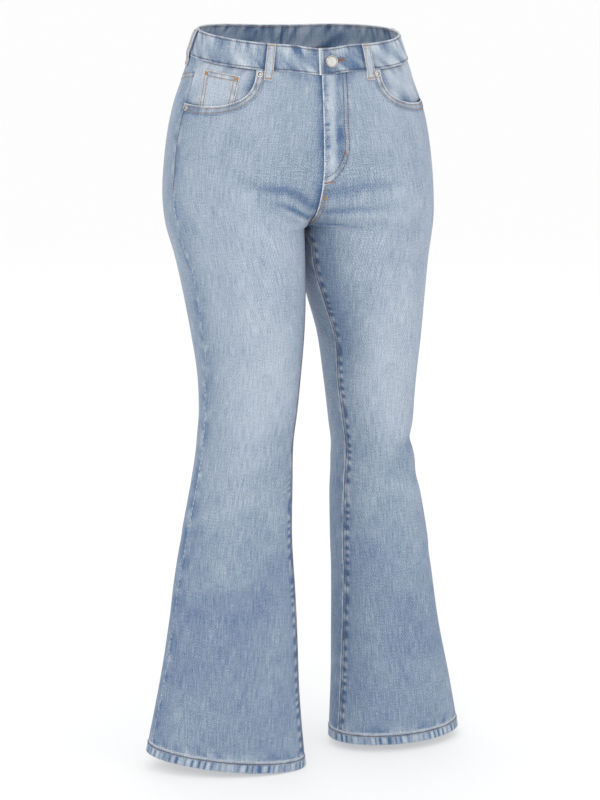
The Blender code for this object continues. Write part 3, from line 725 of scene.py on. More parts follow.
def makeSheet(name, columns, rows, place, thickness, skip=(0, 0), ring=False):
    # a sheet from a grid. place(i, j) gives points, normals, cloth coordinates (run, level) and marks
    bm = bmesh.new()
    bmesh.ops.create_grid(bm, x_segments=columns, y_segments=rows, size=0.5)
    if skip[0]:
        spare = []
        for face in bm.faces:
            middle = face.calc_center_median()
            if (middle.x + 0.5) * columns < skip[0] and (0.5 - middle.y) * rows < skip[1]:
                spare.append(face)
        bmesh.ops.delete(bm, geom=spare, context="FACES")
    bm.verts.index_update()
    bm.verts.ensure_lookup_table()
    corners = np.array([vert.co[:2] for vert in bm.verts])
    i = np.rint((corners[:, 0] + 0.5) * columns).astype(int)
    j = np.rint((0.5 - corners[:, 1]) * rows).astype(int)
    points, normals, run, level, marks = place(i, j)
    for vert, point in zip(bm.verts, points):
        vert.co = point
    for layerName in ("relief", "wear", "fade"):
        layer = bm.verts.layers.float.new(layerName)
        values = np.broadcast_to(marks.get(layerName, 0.0), (len(points),))
        for vert, value in zip(bm.verts, values):
            vert[layer] = value
    uvLayer = bm.loops.layers.uv.new("cloth")
    for face in bm.faces:
        for corner in face.loops:
            corner[uvLayer].uv = run[corner.vert.index], -level[corner.vert.index]
    bm.normal_update()
    agree = sum(vert.normal.dot(Vector(normals[vert.index])) for vert in list(bm.verts)[::37])
    if agree < 0.0:
        bmesh.ops.reverse_faces(bm, faces=bm.faces)
    if ring:
        bmesh.ops.remove_doubles(bm, verts=bm.verts, dist=2e-5)
    carriers[name] = BVHTree.FromBMesh(bm)
    made = addPiece(toMesh(bm, "cloth_" + name, (denimOutside, denimInsideShaded)), name)
    wall = made.modifiers.new("wall", "SOLIDIFY")
    wall.thickness = thickness
    wall.offset = -1.0
    wall.material_offset = 1
    pieces[name] = made


def faceOf(marks, base, height=0.0005):
    # how far the marks raise the cloth's face, over its base
    return base + marks["raise"] + height * marks["relief"]


def laid(side, part, share, level, run, marks, base, height, fade):
    # what place gives for a sheet that lies on one quarter
    marks["fade"] = fade
    return *onSkin(side, part, share, level, faceOf(marks, base, height)), run, level, marks


def eased(start, end, count, near):
    # count steps from start to end, closer together near one of them
    t = np.linspace(0.0, 1.0, count + 1)
    return start + (end - start) * (t**1.7 if near == "start" else 1.0 - (1.0 - t) ** 1.7)


def joined(*runs):
    return np.concatenate([runs[0]] + [run[1:] for run in runs[1:]])


def pocketEdge(side, share):
    # the front pocket's edge as (across, level): down from the waistband, then to the side seam
    reach = 1.0 - cut["pocketReach"][side] / girth(side, "front", cut["waistband"])
    square = cut["pocketSquareness"]
    share = np.asarray(share, float)
    along = np.clip(0.5 ** (1.0 / square) * 2.0 * np.minimum(share, 1.0 - share), 0.0, 1.0)
    rest = (1.0 - along**square) ** (1.0 / square)
    across = np.where(share < 0.5, rest, along)
    down = np.where(share < 0.5, along, rest)
    return reach * across, cut["waistband"] + (cut["pocketFoot"] - cut["waistband"]) * down


def pocketLine(side, inward=0.0):
    # the pocket's edge in cloth metres, or a line beside it on the panel
    across, level = pocketEdge(side, np.linspace(0.0, 1.0, 60))
    line = np.stack((across * girth(side, "front", level), level), axis=1)
    step = np.gradient(line, axis=0)
    step /= np.linalg.norm(step, axis=1, keepdims=True)
    return line + np.stack((-step[:, 1], step[:, 0]), axis=1) * -inward


fly = {"width": 0.0335, "between": 0.0058, "bend": 0.140, "foot": 0.181, "step": 0.0014, "lap": 0.0012}


def flyLine(width):
    # the fly's stitching in metres: (from the centre, level)
    lower = fly["foot"] - (fly["width"] - width)
    turn = np.linspace(0.0, math.pi / 2, 14)
    curve = np.stack((width * np.cos(turn), fly["bend"] + (lower - fly["bend"]) * np.sin(turn)), axis=1)
    return np.concatenate((np.array([[width, cut["waistband"]], [width, 0.09]]), curve))


pocketShare = 0.357
legSteps = 361
frontShares = joined(
    eased(0.0, 0.045, 8, "start"),
    np.linspace(0.045, pocketShare, 18),
    eased(pocketShare, 0.42, 8, "start"),
    np.linspace(0.42, 0.95, 30),
    eased(0.95, 1.0, 10, "end"),
)
pocketColumns = 25
besideRows = np.linspace(0.0, 1.0, 25)
panelFoot = cut["hem"] - cut["hemHeight"]
belowRows = joined(
    eased(0.0, 0.014, 8, "start"),
    np.linspace(0.014, cut["crotch"] - cut["pocketFoot"], 70),
    np.linspace(cut["crotch"] - cut["pocketFoot"], panelFoot - cut["pocketFoot"], legSteps),
)


def frontGrid(side, i, j):
    # (across, level) of each corner. The grid steps round the pocket opening and evens out below it
    top = cut["waistband"]
    share = frontShares[i]
    beside = np.clip((share - pocketShare) / (1.0 - pocketShare), 0.0, 1.0)

    def besidePocket(t):
        edge, edgeLevel = pocketEdge(side, 0.5 * t)
        centre = top + (cut["pocketFoot"] - top) * t
        down = edgeLevel + (centre - edgeLevel) * smooth(beside * 1.3)
        return edge + (1.0 - edge) * beside, np.maximum(down, top)

    upper = np.minimum(j, len(besideRows) - 1)
    acrossUp, levelUp = besidePocket(besideRows[upper])
    under, underLevel = pocketEdge(side, 1.0 - 0.5 * np.clip(share / pocketShare, 0.0, 1.0))
    cornerAcross, cornerLevel = besidePocket(np.ones_like(share))
    startAcross = np.where(i < pocketColumns, under, cornerAcross)
    startLevel = np.where(i < pocketColumns, underLevel, cornerLevel)
    drop = belowRows[np.clip(j - len(besideRows) + 1, 0, len(belowRows) - 1)]
    fade = smooth(1.0 - drop / 0.116)
    acrossLow = share + (startAcross - share) * fade
    levelLow = cut["pocketFoot"] + drop + (startLevel - cut["pocketFoot"]) * fade
    beside = j < len(besideRows) - 1
    return np.where(beside, acrossUp, acrossLow), np.where(beside, levelUp, levelLow)


def legMarks(side, part, across, level, marks, seed):
    # marks that front and back panels share: side seam, inseam, hem
    width = girth(side, part, level)
    fromSide, fromInner, overHem = across * width, (1.0 - across) * width, panelFoot - level
    markSeam(marks, fromSide, level, seed, pucker=0.55, reach=0.008, period=0.014, edge=0.10)
    inner = newMarks(across)
    if part == "front":
        markDashes(marks, fromSide, level, seed + 7)
        felled = {"rows": rowsAt["inseam"], "ridge": 0.0005, "edge": 0.10}
        markSeam(inner, fromInner, level, seed + 1, pucker=0.7, reach=0.0075, period=0.011, **felled)
        blob = 0.5 + 0.5 * np.sin(2 * math.pi * (level / 0.0150 + 0.9 * waves(level / 0.030, seed + 5)))
        spot, reach = {"left": (0.0072, 0.0028), "right": (0.0098, 0.0030)}[side]
        sewn = 1.0 if side == "left" else smooth((level - 0.56) / 0.10)
        inner["relief"] -= 1.15 * sewn * blob**2 * bell(fromInner - spot, reach)
        inner["relief"] += 0.50 * sewn * (1.0 - blob) * bell(fromInner - spot, reach)
    else:
        edge = {"edge": 0.85, "ridge": 0.0003, "ridgeWidth": 0.003}
        markSeam(inner, fromInner, level, seed + 2, pucker=0.4, reach=0.006, period=0.012, **edge)
    addMarks(marks, inner, belowCrotch(level))
    markSeam(marks, overHem, fromSide, seed + 3, pucker=0.6, period=0.011, slant=0.8, edge=0.55)
    marks["wear"] += 0.22 * bell(overHem, 0.0050)
    marks["relief"] -= 0.08 * bell(fromSide, 0.018)


def pocketMarks(side, fromSide, level, marks):
    # the front pocket's turned edge with its two rows, and the puckers between them
    gap, run, _ = toLine(pocketLine(side), fromSide, level)
    felled = {"rows": rowsAt["pocket"], "ridge": 0.0006, "ridgeWidth": 0.0106}
    markSeam(marks, gap, run, 70, pucker=0.75, reach=0.0085, period=0.0075, slant=0.1, edge=0.95, **felled)
    marks["relief"] -= 0.45 * bell(gap - 0.0116, 0.0014)
    beat = 0.5 + 0.5 * waves(run / 0.0052, 72)
    marks["relief"] += 0.55 * (beat - 0.6) * bell(gap - 0.0061, 0.0024)


def crotchCreaseShadeMarks(side, fromSide, level, marks):
    for points, reach, strength in crotchCreaseShade[side]:
        line, reach = np.array(points) / 1000, reach / 1000
        away, along, below = toLine(line, fromSide, level)
        taper = strength * smooth(1.5 * along / lengthsAlong(line)[-1])
        # painted crease shade: a dark line down each drag line
        marks["relief"] -= taper * bell(away, reach)
        # painted highlight: a lighter band along one side of the crease
        marks["relief"] += 0.35 * taper * (below > 0) * bell(away - 2.2 * reach, 1.2 * reach)


def flyMarks(fromCentre, level, marks):
    # the fly's raised layer on the left front, its blotches and dashes, and the seam's allowance below it
    gap, run, hand = toLine(flyLine(fly["width"]), fromCentre, level)
    inside = (fromCentre < fly["width"]) & (level < fly["foot"]) & (hand > 0)
    markSeam(marks, gap, run, 80, pucker=0.35, reach=0.006, period=0.012, rows=(0.0,))
    marks["raise"] += 0.0005 * np.where(inside, smooth(gap / 0.002), 0.0)
    worn = inside * bell(fromCentre - 0.010, 0.0065)
    marks["wear"] += 0.10 * worn
    marks["relief"] += 0.55 * worn
    blotch = waves(level / 0.011 + fromCentre * 60, 91) * (0.5 + waves(fromCentre / 0.006 + level * 40, 92))
    heavy = 0.38 + 0.50 * bell(level - 0.122, 0.026)
    marks["relief"] -= 1.1 * inside * heavy * bell(fromCentre - 0.0215, 0.0056) * (0.85 + 0.9 * blotch)
    marks["relief"] += 0.6 * inside * blotch * bell(fromCentre - 0.006, 0.006)
    dash = smooth(waves(level / 0.0036, 93)) * (0.5 + 0.7 * waves(level / 0.021, 94))
    marks["relief"] -= 1.3 * inside * dash * bell(fromCentre - 0.0045, 0.0030)
    markSeam(marks, fromCentre, level, 82, pucker=0.5, reach=0.006, period=0.011, edge=0.95)
    below = smooth((level - fly["foot"] + 0.002) / 0.004)
    marks["raise"] += 0.0004 * below * smooth((0.0085 - fromCentre) / 0.002)


def frontPanel(side):
    def place(i, j):
        across, level = frontGrid(side, i, j)
        width = girth(side, "front", level)
        fromSide, fromCentre = across * width, (1.0 - across) * width
        marks, rise = newMarks(across), newMarks(across)
        legMarks(side, "front", across, level, marks, 20 if side == "left" else 40)
        markSeam(marks, level - cut["waistband"], fromCentre, 60, pucker=0.5, edge=0.1)
        pocketMarks(side, fromSide, level, marks)
        crotchCreaseShadeMarks(side, fromSide, level, marks)
        base = cut["denimFace"]
        if side == "left":
            flyMarks(fromCentre, level, rise)
            above = smooth((cut["crotch"] - 0.015 - level) / 0.03)
            base = base + fly["step"] * smooth((0.066 - fromCentre) / 0.03) * above
        else:
            markSeam(rise, fromCentre, level, 83, pucker=0.4, reach=0.007, period=0.012)
            # painted shadow of the fly's lapped edge: a dark band on the right front along the centre seam
            rise["relief"] -= 0.55 * bell(fromCentre, 0.0075)
        addMarks(marks, rise, 1.0 - belowCrotch(level))
        points, normals = onSkin(side, "front", across, level, faceOf(marks, base))
        if side == "left":
            above = smooth((cut["crotch"] - 0.03 - level) / 0.03)
            points[:, 0] -= fly["lap"] * smooth((0.004 - fromCentre) / 0.004) * above
        marks["fade"] = clothFadeAndShade(side, "front", across, level)
        return points, normals, (across - 0.5) * width, level, marks

    rows = len(besideRows) - 1 + len(belowRows) - 1
    skip = (pocketColumns, len(besideRows) - 1)
    makeSheet("front_" + side, len(frontShares) - 1, rows, place, cut["denim"], skip)


def yokeLevel(across):
    return cut["waistband"] + cut["yokeSide"] + (cut["yokeCentre"] - cut["yokeSide"]) * across


backShares = joined(eased(0.0, 0.045, 8, "start"), np.linspace(0.045, 0.95, 46), eased(0.95, 1.0, 10, "end"))
backRows = joined(eased(0.0, 0.012, 6, "start") / 0.2, np.linspace(0.06, 1.0, 66))
yokeRows = 20


def backPanel(side):
    lower = np.linspace(cut["crotch"], panelFoot, legSteps)

    def place(i, j):
        across = backShares[i]
        top = yokeLevel(across)
        upper = top + (cut["crotch"] - top) * backRows[np.minimum(j, len(backRows) - 1)]
        level = np.where(j < len(backRows), upper, lower[np.clip(j - len(backRows) + 1, 0, len(lower) - 1)])
        width = girth(side, "back", level)
        marks, rise = newMarks(across), newMarks(across)
        legMarks(side, "back", across, level, marks, 120 if side == "left" else 140)
        felled = {"edge": 0.35, "rows": rowsAt["seat"], "ridge": 0.0004}
        markSeam(marks, level - top, across * width, 160, pucker=0.7, reach=0.008, **felled)
        felled = {"rows": rowsAt["seat"], "ridge": 0.0005} if side == "left" else {}
        markSeam(rise, (1.0 - across) * width, level, 170, reach=0.008, edge=0.35, **felled)
        addMarks(marks, rise, 1.0 - belowCrotch(level))
        fade = clothFadeAndShade(side, "back", across, level)
        run = (0.5 - across) * width
        return laid(side, "back", across, level, run, marks, cut["denimFace"], 0.0005, fade)

    rows = len(backRows) - 1 + len(lower) - 1
    makeSheet("back_" + side, len(backShares) - 1, rows, place, cut["denim"])


def yoke(side):
    def place(i, j):
        across, top = backShares[i], cut["waistband"]
        level = top + (yokeLevel(across) - top) * j / yokeRows
        width = girth(side, "back", level)
        marks = newMarks(across)
        for gap, run, seed, pucker, reach, edge in (
            (level - top, across * width, 180, 0.5, 0.009, 0.1),
            (yokeLevel(across) - level, across * width, 181, 0.5, 0.006, 0.2),
            ((1.0 - across) * width, level, 182, 0.5, 0.007, 0.2),
            (across * width, level, 183, 0.4, 0.006, 0.2),
        ):
            markSeam(marks, gap, run, seed, pucker, reach, edge=edge)
        return laid(side, "back", across, level, -across * width, marks, cut["denimFace"], 0.00045, 0.30)

    makeSheet("yoke_" + side, len(backShares) - 1, yokeRows, place, cut["denim"])


band = {
    "inside": 0.0012, "outside": 0.0014, "underlap": 0.034, "stepStart": 0.057, "past": 0.0045, "columns": 330,
}
button = {"radius": 0.0083, "fromEnd": 0.0125, "level": 0.0185}
hole = {
    "start": button["fromEnd"] + 0.0045, "length": 0.0125, "threads": 28,
    "fan": 6, "inner": 0.0008, "outer": 0.0024,
}


def leftFront(metres):
    # metres along the left front of the waistband, as quarters
    return metres / float(girth("left", "front", 0.018))


def bandRaise(quarter):
    # how far the band's upper end stands out over its lower one
    front = girth("left", "front", 0.0)
    underlap, start = band["underlap"] / front, band["stepStart"] / front
    step = band["outside"] + band["inside"] + 0.0003
    return step * smooth((start - (4.0 - quarter)) / (start - underlap * 1.1))


def waistband():
    underlap = band["underlap"] / girth("left", "front", 0.0)
    last = 4.0 + band["past"] / girth("right", "front", 0.0)
    shares = joined(eased(0.0, 0.2, 5, "start"), np.linspace(0.2, 0.8, 7), eased(0.8, 1.0, 5, "end"))
    downRows = cut["waistband"] * shares

    def place(i, j):
        quarter = -underlap + (last + underlap) * i / band["columns"]
        level = downRows[j]
        run = bandRun(quarter)
        fromEnd = bandRun(last) - run
        marks = newMarks(quarter)
        row = {"rows": (rowsAt["band"],)}
        markSeam(marks, level, run, 200, pucker=0.7, period=0.009, slant=0.8, edge=0.60, **row)
        markSeam(marks, cut["waistband"] - level, run, 210, 1.0, 0.014, 0.011, -1.0, edge=0.30, **row)
        markSeam(marks, fromEnd, level, 220, pucker=0.3, edge=1.0, rows=(0.0075,))
        marks["wear"] += 0.25 * smooth((0.0068 - fromEnd) / 0.001)
        patches = 0.6 + 0.6 * waves(run / 0.03 - level * 30, 231)
        mottle = 0.27 * waves(run / 0.0060 + level * 95, 230) * patches
        marks["relief"] += mottle + 0.17 * waves(run / 0.019 + level * 45, 233)
        # painted shadow on the band beside each belt loop
        for spot in loops.values():
            beside = np.abs(run - bandRun(spot)) - loop["width"] / 2 - 0.0008
            marks["relief"] -= 0.8 * bell(beside, 0.0016)
        # the buttonhole's slit painted as a dark line: painted shade in its opening
        first = bandRun(4.0) - hole["start"]
        slit = hole["length"] * np.clip((first - run) / hole["length"], 0.0, 1.0)
        marks["relief"] -= 2.2 * bell(np.hypot(run - (first - slit), level - button["level"]), 0.0011)
        points, normals = roundWaist(quarter, level, faceOf(marks, band["outside"] + bandRaise(quarter)))
        marks["relief"] += 0.46 * (0.3 + waves(run / 0.0052, 232)) * bell(level - 0.005, 0.009)
        fromFly = np.minimum(np.abs(run), np.abs(run - bandRun(4.0)))
        marks["fade"] = 0.58 + 0.12 * waves(run / 0.05, 240) - 0.50 * bell(fromFly, 0.085)
        return points, normals, run, level, marks

    makeSheet("waistband", band["columns"], len(downRows) - 1, place, band["outside"] + band["inside"])


def pocketDepth(share):
    # how far the pocket's facing lies behind the panel
    return -0.0038 * smooth((share - 0.005) / 0.12)


def facing(side):
    reach = float(pocketEdge(side, 0.0)[0]) + 0.13
    columns, rows = 44, 28

    def place(i, j):
        share = reach * i / columns
        top = cut["waistband"]
        bottom = cut["pocketFoot"] - 0.0006 + 0.020 * smooth((share - 0.14) / 0.12)
        level = top + (bottom - top) * j / rows
        run = share * girth(side, "front", level)
        marks = newMarks(share)
        markSeam(marks, level - top, run, 250, pucker=0.5, edge=0.1)
        markSeam(marks, run, level, 251, pucker=0.5, reach=0.007, edge=0.4)
        gap, along, _ = toLine(pocketLine(side), run, level)
        # painted shadow that the panel's pocket edge casts on the facing behind it: dark right at the edge and in a
        # broken band beyond
        marks["relief"] -= 0.55 * bell(gap, 0.0030)
        marks["relief"] -= 0.65 * bell(gap - 0.004, 0.0085) * (0.55 + 0.7 * waves(along / 0.024, 254))
        marks["relief"] += 0.45 * waves(run / 0.012 + level * 60, 252) * waves(level / 0.018, 253)
        return laid(side, "front", share, level, run, marks, 0.0006 + pocketDepth(share), 0.0004, 0.72)

    makeSheet("pocket_facing_" + side, columns, rows, place, 0.0010)


coin = {
    "top": 0.0455, "foot": 0.0975, "topClear": 0.0175, "footClear": 0.0300,
    "topWidth": 0.0600, "footWidth": 0.0520, "columns": 48, "rows": 40,
}


def coinSpot(across, down):
    # a spot on the coin pocket: share and level of the right front, the pocket's width and its depth
    level = coin["top"] + (coin["foot"] - coin["top"]) * down + 0.001 * across
    width = coin["topWidth"] + (coin["footWidth"] - coin["topWidth"]) * down
    clear = coin["topClear"] + (coin["footClear"] - coin["topClear"]) * down
    share = (clear + width * across) / girth("right", "front", level)
    return share, level, width, 0.0020 + pocketDepth(share)


def coinPocket():
    def place(i, j):
        across, down = i / coin["columns"], j / coin["rows"]
        share, level, width, depth = coinSpot(across, down)
        run = across * width
        marks = newMarks(across)
        fromTop = down * (coin["foot"] - coin["top"])
        fromFar = (1.0 - across) * width
        look = {"pucker": 0.6, "reach": 0.008, "period": 0.007, "edge": 0.85, "rows": rowsAt["coin"]}
        for gap, along, seed in ((fromTop, run, 260), (run, level, 261), (fromFar, level, 262)):
            markSeam(marks, gap, along, seed, **look)
        return laid("right", "front", share, level, run, marks, depth, 0.0003, 0.80)

    makeSheet("coin_pocket", coin["columns"], coin["rows"], place, 0.0010)


patch = {
    "top": 0.112, "sides": 0.112, "point": 0.020, "clear": 0.038, "topWidth": 0.136, "footWidth": 0.116,
    "columns": 60, "rows": 60,
}


def patchSpot(side, across, down):
    fromMiddle = np.abs(2.0 * across - 1.0)
    tall = patch["sides"] + patch["point"] * (1.0 - fromMiddle)
    level = patch["top"] + tall * down - 0.012 * (1.0 - across)
    width = patch["topWidth"] + (patch["footWidth"] - patch["topWidth"]) * down
    away = patch["clear"] + 0.010 * down + (patch["topWidth"] - width) / 2 + width * across
    return 1.0 - away / girth(side, "back", level), level, width


def patchLine(side, inset, upper=None):
    # a stitch line round the patch pocket, inset from its edge, or across its top, as (share, level)
    wide, tall = 0.126, 0.118
    near, far, foot = inset / wide, 1.0 - inset / wide, 1.0 - inset / tall
    if upper is not None:
        across, down = np.linspace(near, far, 40), np.full(40, upper / tall)
    else:
        sides = np.linspace(0.02, foot, 40)
        across = np.concatenate((np.full(40, near), np.linspace(near, far, 41), np.full(40, far)))
        down = np.concatenate((sides, np.full(41, foot), sides[::-1]))
    return patchSpot(side, across, down)[:2]


def backPocket(side):
    def place(i, j):
        across, down = i / patch["columns"], j / patch["rows"]
        share, level, width = patchSpot(side, across, down)
        run, tall = across * width, patch["sides"]
        marks = newMarks(across)
        for gap, along, rows, seed in (
            (down * tall, run, "patchTop", 270), (run, level, "patch", 271),
            ((1.0 - across) * width, level, "patch", 272), ((1.0 - down) * tall, run, "patch", 273),
        ):
            look = {"pucker": 0.5, "reach": 0.009, "period": 0.008, "edge": 0.8}
            markSeam(marks, gap, along, seed, rows=rowsAt[rows], **look)
        fade = 0.55 * bell(2.0 * across - 1.0, 1.0) + 0.05 * waves(across * 4 + down * 5, 275)
        return laid(side, "back", share, level, run, marks, 0.0028, 0.0004, fade)

    makeSheet("back_pocket_" + side, patch["columns"], patch["rows"], place, 0.0012)


def flyShield():
    half, length, columns, rows = 0.020, 0.144 - cut["waistband"], 14, 30

    def place(i, j):
        level = cut["waistband"] + 0.0003 + length * j / rows
        away = half * (2.0 * i / columns - 1.0)
        widths = np.where(away >= 0.0, girth("left", "front", level), girth("right", "front", level))
        choices = (("left", "front", away >= 0.0), ("right", "front", away < 0.0))
        points, normals = onQuarters(choices, 1.0 - np.abs(away) / widths, level, np.full(len(away), -0.0016))
        return points, normals, away, level, {"fade": 0.2}

    makeSheet("fly_shield", columns, rows, place, 0.0011)


loop = {"width": 0.011, "below": 0.0135, "columns": 8, "rows": 44}
loops = {
    "belt_loop_front_right": 0.0715 / float(girth("right", "front", 0.018)),
    "belt_loop_front_left": 4.0 - leftFront(0.0640),
    "belt_loop_side_right": 1.16,
    "belt_loop_side_left": 2.84,
    "belt_loop_back": 2.0,
}


def loopSpot(quarter, across, down):
    # a point of a belt loop's face: it lies on the cloth at its ends and bows out between them
    half = loop["width"] / 2 / girth("right", "front", cut["waistband"])
    level = 0.0006 + (cut["waistband"] + loop["below"] - 0.0006) * down
    above = cut["waistband"] + 0.006 - level
    seat = 0.0016 + (band["outside"] - 0.0007) * smooth(above / 0.006)
    bow = 0.0022 * smooth(level / 0.008) * smooth(above / 0.010)
    points, normals = roundWaist(quarter + half * (2.0 * across - 1.0), level, seat + bow + 0.0013)
    return points, normals, level


def beltLoop(name, quarter):
    def place(i, j):
        across, down = i / loop["columns"], j / loop["rows"]
        points, normals, level = loopSpot(quarter, across, down)
        marks = newMarks(across)
        run = across * loop["width"]
        for gap, seed in ((run, 280), ((1.0 - across) * loop["width"], 281)):
            markSeam(marks, gap, level, seed + quarter, pucker=0.3, reach=0.004, period=0.007, edge=0.65)
        marks["fade"] = 0.75
        return points + normals * (0.0002 * marks["relief"])[:, None], normals, run, level, marks

    makeSheet(name, loop["columns"], loop["rows"], place, 0.0013)


hem = {"columns": 300, "rows": 12, "girth": 0.56}


def hemRing(side):
    def place(i, j):
        around = (i % hem["columns"]) / hem["columns"]
        isFront = around < 0.5
        share = np.where(isFront, around * 2.0, 2.0 - around * 2.0)
        level = panelFoot + cut["hemHeight"] * j / hem["rows"]
        run = around * hem["girth"]
        down = level - panelFoot
        marks = newMarks(share)
        slanted = (run + 0.18 * down) / 0.0108
        beat = np.mod(slanted + 0.45 * waves(slanted / 1.7, 300), 1.0)
        groove = bell(beat - 0.5, 0.17) * (0.75 + 0.5 * waves(slanted / 2.3, 303))
        rope = 0.35 - 1.25 * groove + 0.5 * waves(slanted * 2.1, 301)
        within = smooth((down - 0.0036) / 0.003)
        marks["relief"] += 0.95 * rope * within * (1.0 - 0.3 * smooth((down - 0.012) / 0.004))
        marks["relief"] += 0.25 * waves(run / 0.012, 302) * (1.0 - within)
        marks["wear"] += 0.50 * bell(down - 0.0006, 0.0014) + 0.45 * bell(cut["hemHeight"] - down, 0.0013)
        marks["raise"] -= 0.0003 * bell(down - rowsAt["hem"], 0.0010)
        offset = faceOf(marks, 0.0008 + 0.0003 * smooth(down / 0.004))
        parts = ((side, "front", isFront), (side, "back", ~isFront))
        points, normals = onQuarters(parts, share, level, offset)
        marks["fade"] = 0.20
        return points, normals, i / hem["columns"] * hem["girth"], level, marks

    makeSheet("hem_" + side, hem["columns"], hem["rows"], place, 0.0026, ring=True)


for side in outward:
    for make in (frontPanel, backPanel, yoke, facing, backPocket, hemRing):
        make(side)
waistband()
coinPocket()
flyShield()
for name, quarter in loops.items():
    beltLoop(name, quarter)
print("cloth ready:", len(pieces), "pieces")

# sewing thread
thread = {"length": 0.0030, "gap": 0.0006, "radius": 0.00056, "lift": 0.00022, "hemRadius": 0.00078}
tack = {"pitch": 0.00045, "lean": 0.0002, "radius": 0.00028, "lift": 0.00025}


def makeStitchShape():
    bm = bmesh.new()
    bmesh.ops.create_uvsphere(bm, u_segments=6, v_segments=4, radius=1.0)
    bmesh.ops.rotate(bm, verts=bm.verts, matrix=Matrix.Rotation(math.pi / 2, 3, "Y"))
    for vert in bm.verts:
        if abs(vert.co.x) < 0.95:
            vert.co.x *= 1.15
    bm.verts.index_update()
    corners = np.array([vert.co for vert in bm.verts])
    faces = [tuple(vert.index for vert in face.verts) for face in bm.faces]
    bm.free()
    return corners, faces


stitchCorners, stitchFaces = makeStitchShape()
stitches = {}


def addStitch(group, carrier, one, two, radius=thread["radius"], lift=thread["lift"]):
    # one stitch between two points, seated on the carrier's face
    (start, first), (end, last) = (carriers[carrier].find_nearest(Vector(point))[:2] for point in (one, two))
    normal = (first + last).normalized()
    along = end - start
    if along.length < 1e-6:
        return
    centre = (start + end) / 2 + normal * lift
    across = normal.cross(along).normalized()
    up = along.normalized().cross(across).normalized()
    basis = np.array((along * 0.5, across * radius, up * radius * 0.85))
    stitches.setdefault(group, []).append(stitchCorners @ basis + np.array(centre))


def sewLine(group, carrier, points, lift=thread["lift"], radius=thread["radius"]):
    # a row of stitches along a line of points
    walked, gap = lengthsAlong(points), thread["gap"]
    count = max(int(walked[-1] // (thread["length"] + gap)), 1)
    pitch = walked[-1] / count
    for n in range(count):
        ends = (n * pitch + gap / 2, (n + 1) * pitch - gap / 2)
        one, two = ([np.interp(w, walked, points[:, axis]) for axis in range(3)] for w in ends)
        addStitch(group, carrier, one, two, radius, lift)


def sewOn(group, carrier, side, part, share, level, out, radius=thread["radius"]):
    # a row along shares and levels of one quarter's cloth
    sewLine(group, carrier, onSkin(side, part, share, level, out)[0], radius=radius)


def sewBar(group, carrier, spots, size, upright=False):
    # a bar tack at the second of four spots: the first and third lie beside it and the fourth below it
    over, down = spots[2] - spots[0], spots[3] - spots[1]
    ways = (down, over) if upright else (over, down)
    along, across = (vector / np.linalg.norm(vector) for vector in ways)
    count = int(size[0] / tack["pitch"])
    for n in range(count):
        middle = spots[1] + along * size[0] * ((n + 0.5) / count - 0.5)
        reach = across * size[1] / 2 + along * tack["lean"] * (1 if n % 2 else -1)
        addStitch(group, carrier, middle - reach, middle + reach, tack["radius"], tack["lift"])


def panelLine(side, part, fromSeam, seam, start, end):
    # a line down a panel at a fixed distance from its side seam or inner edge
    levels = np.linspace(start, end, max(int((end - start) / 0.004), 4))
    share = fromSeam / girth(side, part, levels)
    return onSkin(side, part, share if seam == "side" else 1.0 - share, levels, 0.0012)[0]


def pocketRow(side, inward):
    line = pocketLine(side, inward)
    share = line[:, 0] / girth(side, "front", line[:, 1])
    keep = (share > 0.004) & (line[:, 1] > cut["waistband"] + 0.001)
    return onSkin(side, "front", share[keep], line[keep, 1], 0.0018)[0]


for side in outward:
    front, back, pocket = "front_" + side, "back_" + side, "back_pocket_" + side
    for inward in rowsAt["pocket"]:
        sewLine("pockets_" + side, front, pocketRow(side, inward))
    sewLine("side_seam_" + side, front, panelLine(side, "front", 0.0016, "side", 0.100, 0.205))
    top = panelLine(side, "front", 0.0016, "side", 0.203, 0.209)
    centre, over = top.mean(axis=0), np.array((0.5, 0.15, 0.0))
    spots = (centre - over, centre, centre + over, centre + top[-1] - top[0])
    sewBar("tacks_" + side, front, spots, (0.006, 0.0016), True)
    for inward in rowsAt["inseam"]:
        line = panelLine(side, "front", inward, "inner", cut["crotch"], panelFoot - 0.001)
        sewLine("inseam_" + side, front, line)
    across = np.linspace(0.002, 0.998, 80)
    for drop in rowsAt["seat"]:
        sewOn("yoke_" + side, back, side, "back", across, yokeLevel(across) + drop, 0.0015)
    lines = [patchLine(side, inset) for inset in rowsAt["patch"]]
    lines += [patchLine(side, rowsAt["patch"][0], upper) for upper in rowsAt["patchTop"]]
    for share, level in lines:
        sewOn(pocket, pocket, side, "back", share, level, 0.003)
    for part in ("front", "back"):
        share = np.linspace(0.0, 1.0, 90)
        level = panelFoot + rowsAt["hem"]
        sewOn("hem_" + side, "hem_" + side, side, part, share, level, 0.0015, thread["hemRadius"])

for inward in rowsAt["seat"]:
    line = panelLine("left", "back", inward, "inner", 0.100, cut["crotch"] - 0.002)
    sewLine("seat_seam", "back_left", line)
for inward in (0.0016, 0.0060):
    line = panelLine("left", "front", inward, "inner", fly["foot"] + 0.004, cut["crotch"] - 0.001)
    sewLine("crotch_seam", "front_left", line)
innerRow = fly["width"] - fly["between"]
for width in (fly["width"], innerRow):
    line = flyLine(width)
    walked = lengthsAlong(line)
    away, level = (np.interp(np.linspace(0.0, walked[-1], 90), walked, line[:, axis]) for axis in (0, 1))
    sewOn("fly_rows", "front_left", "left", "front", 1.0 - away / girth("left", "front", level), level, 0.003)

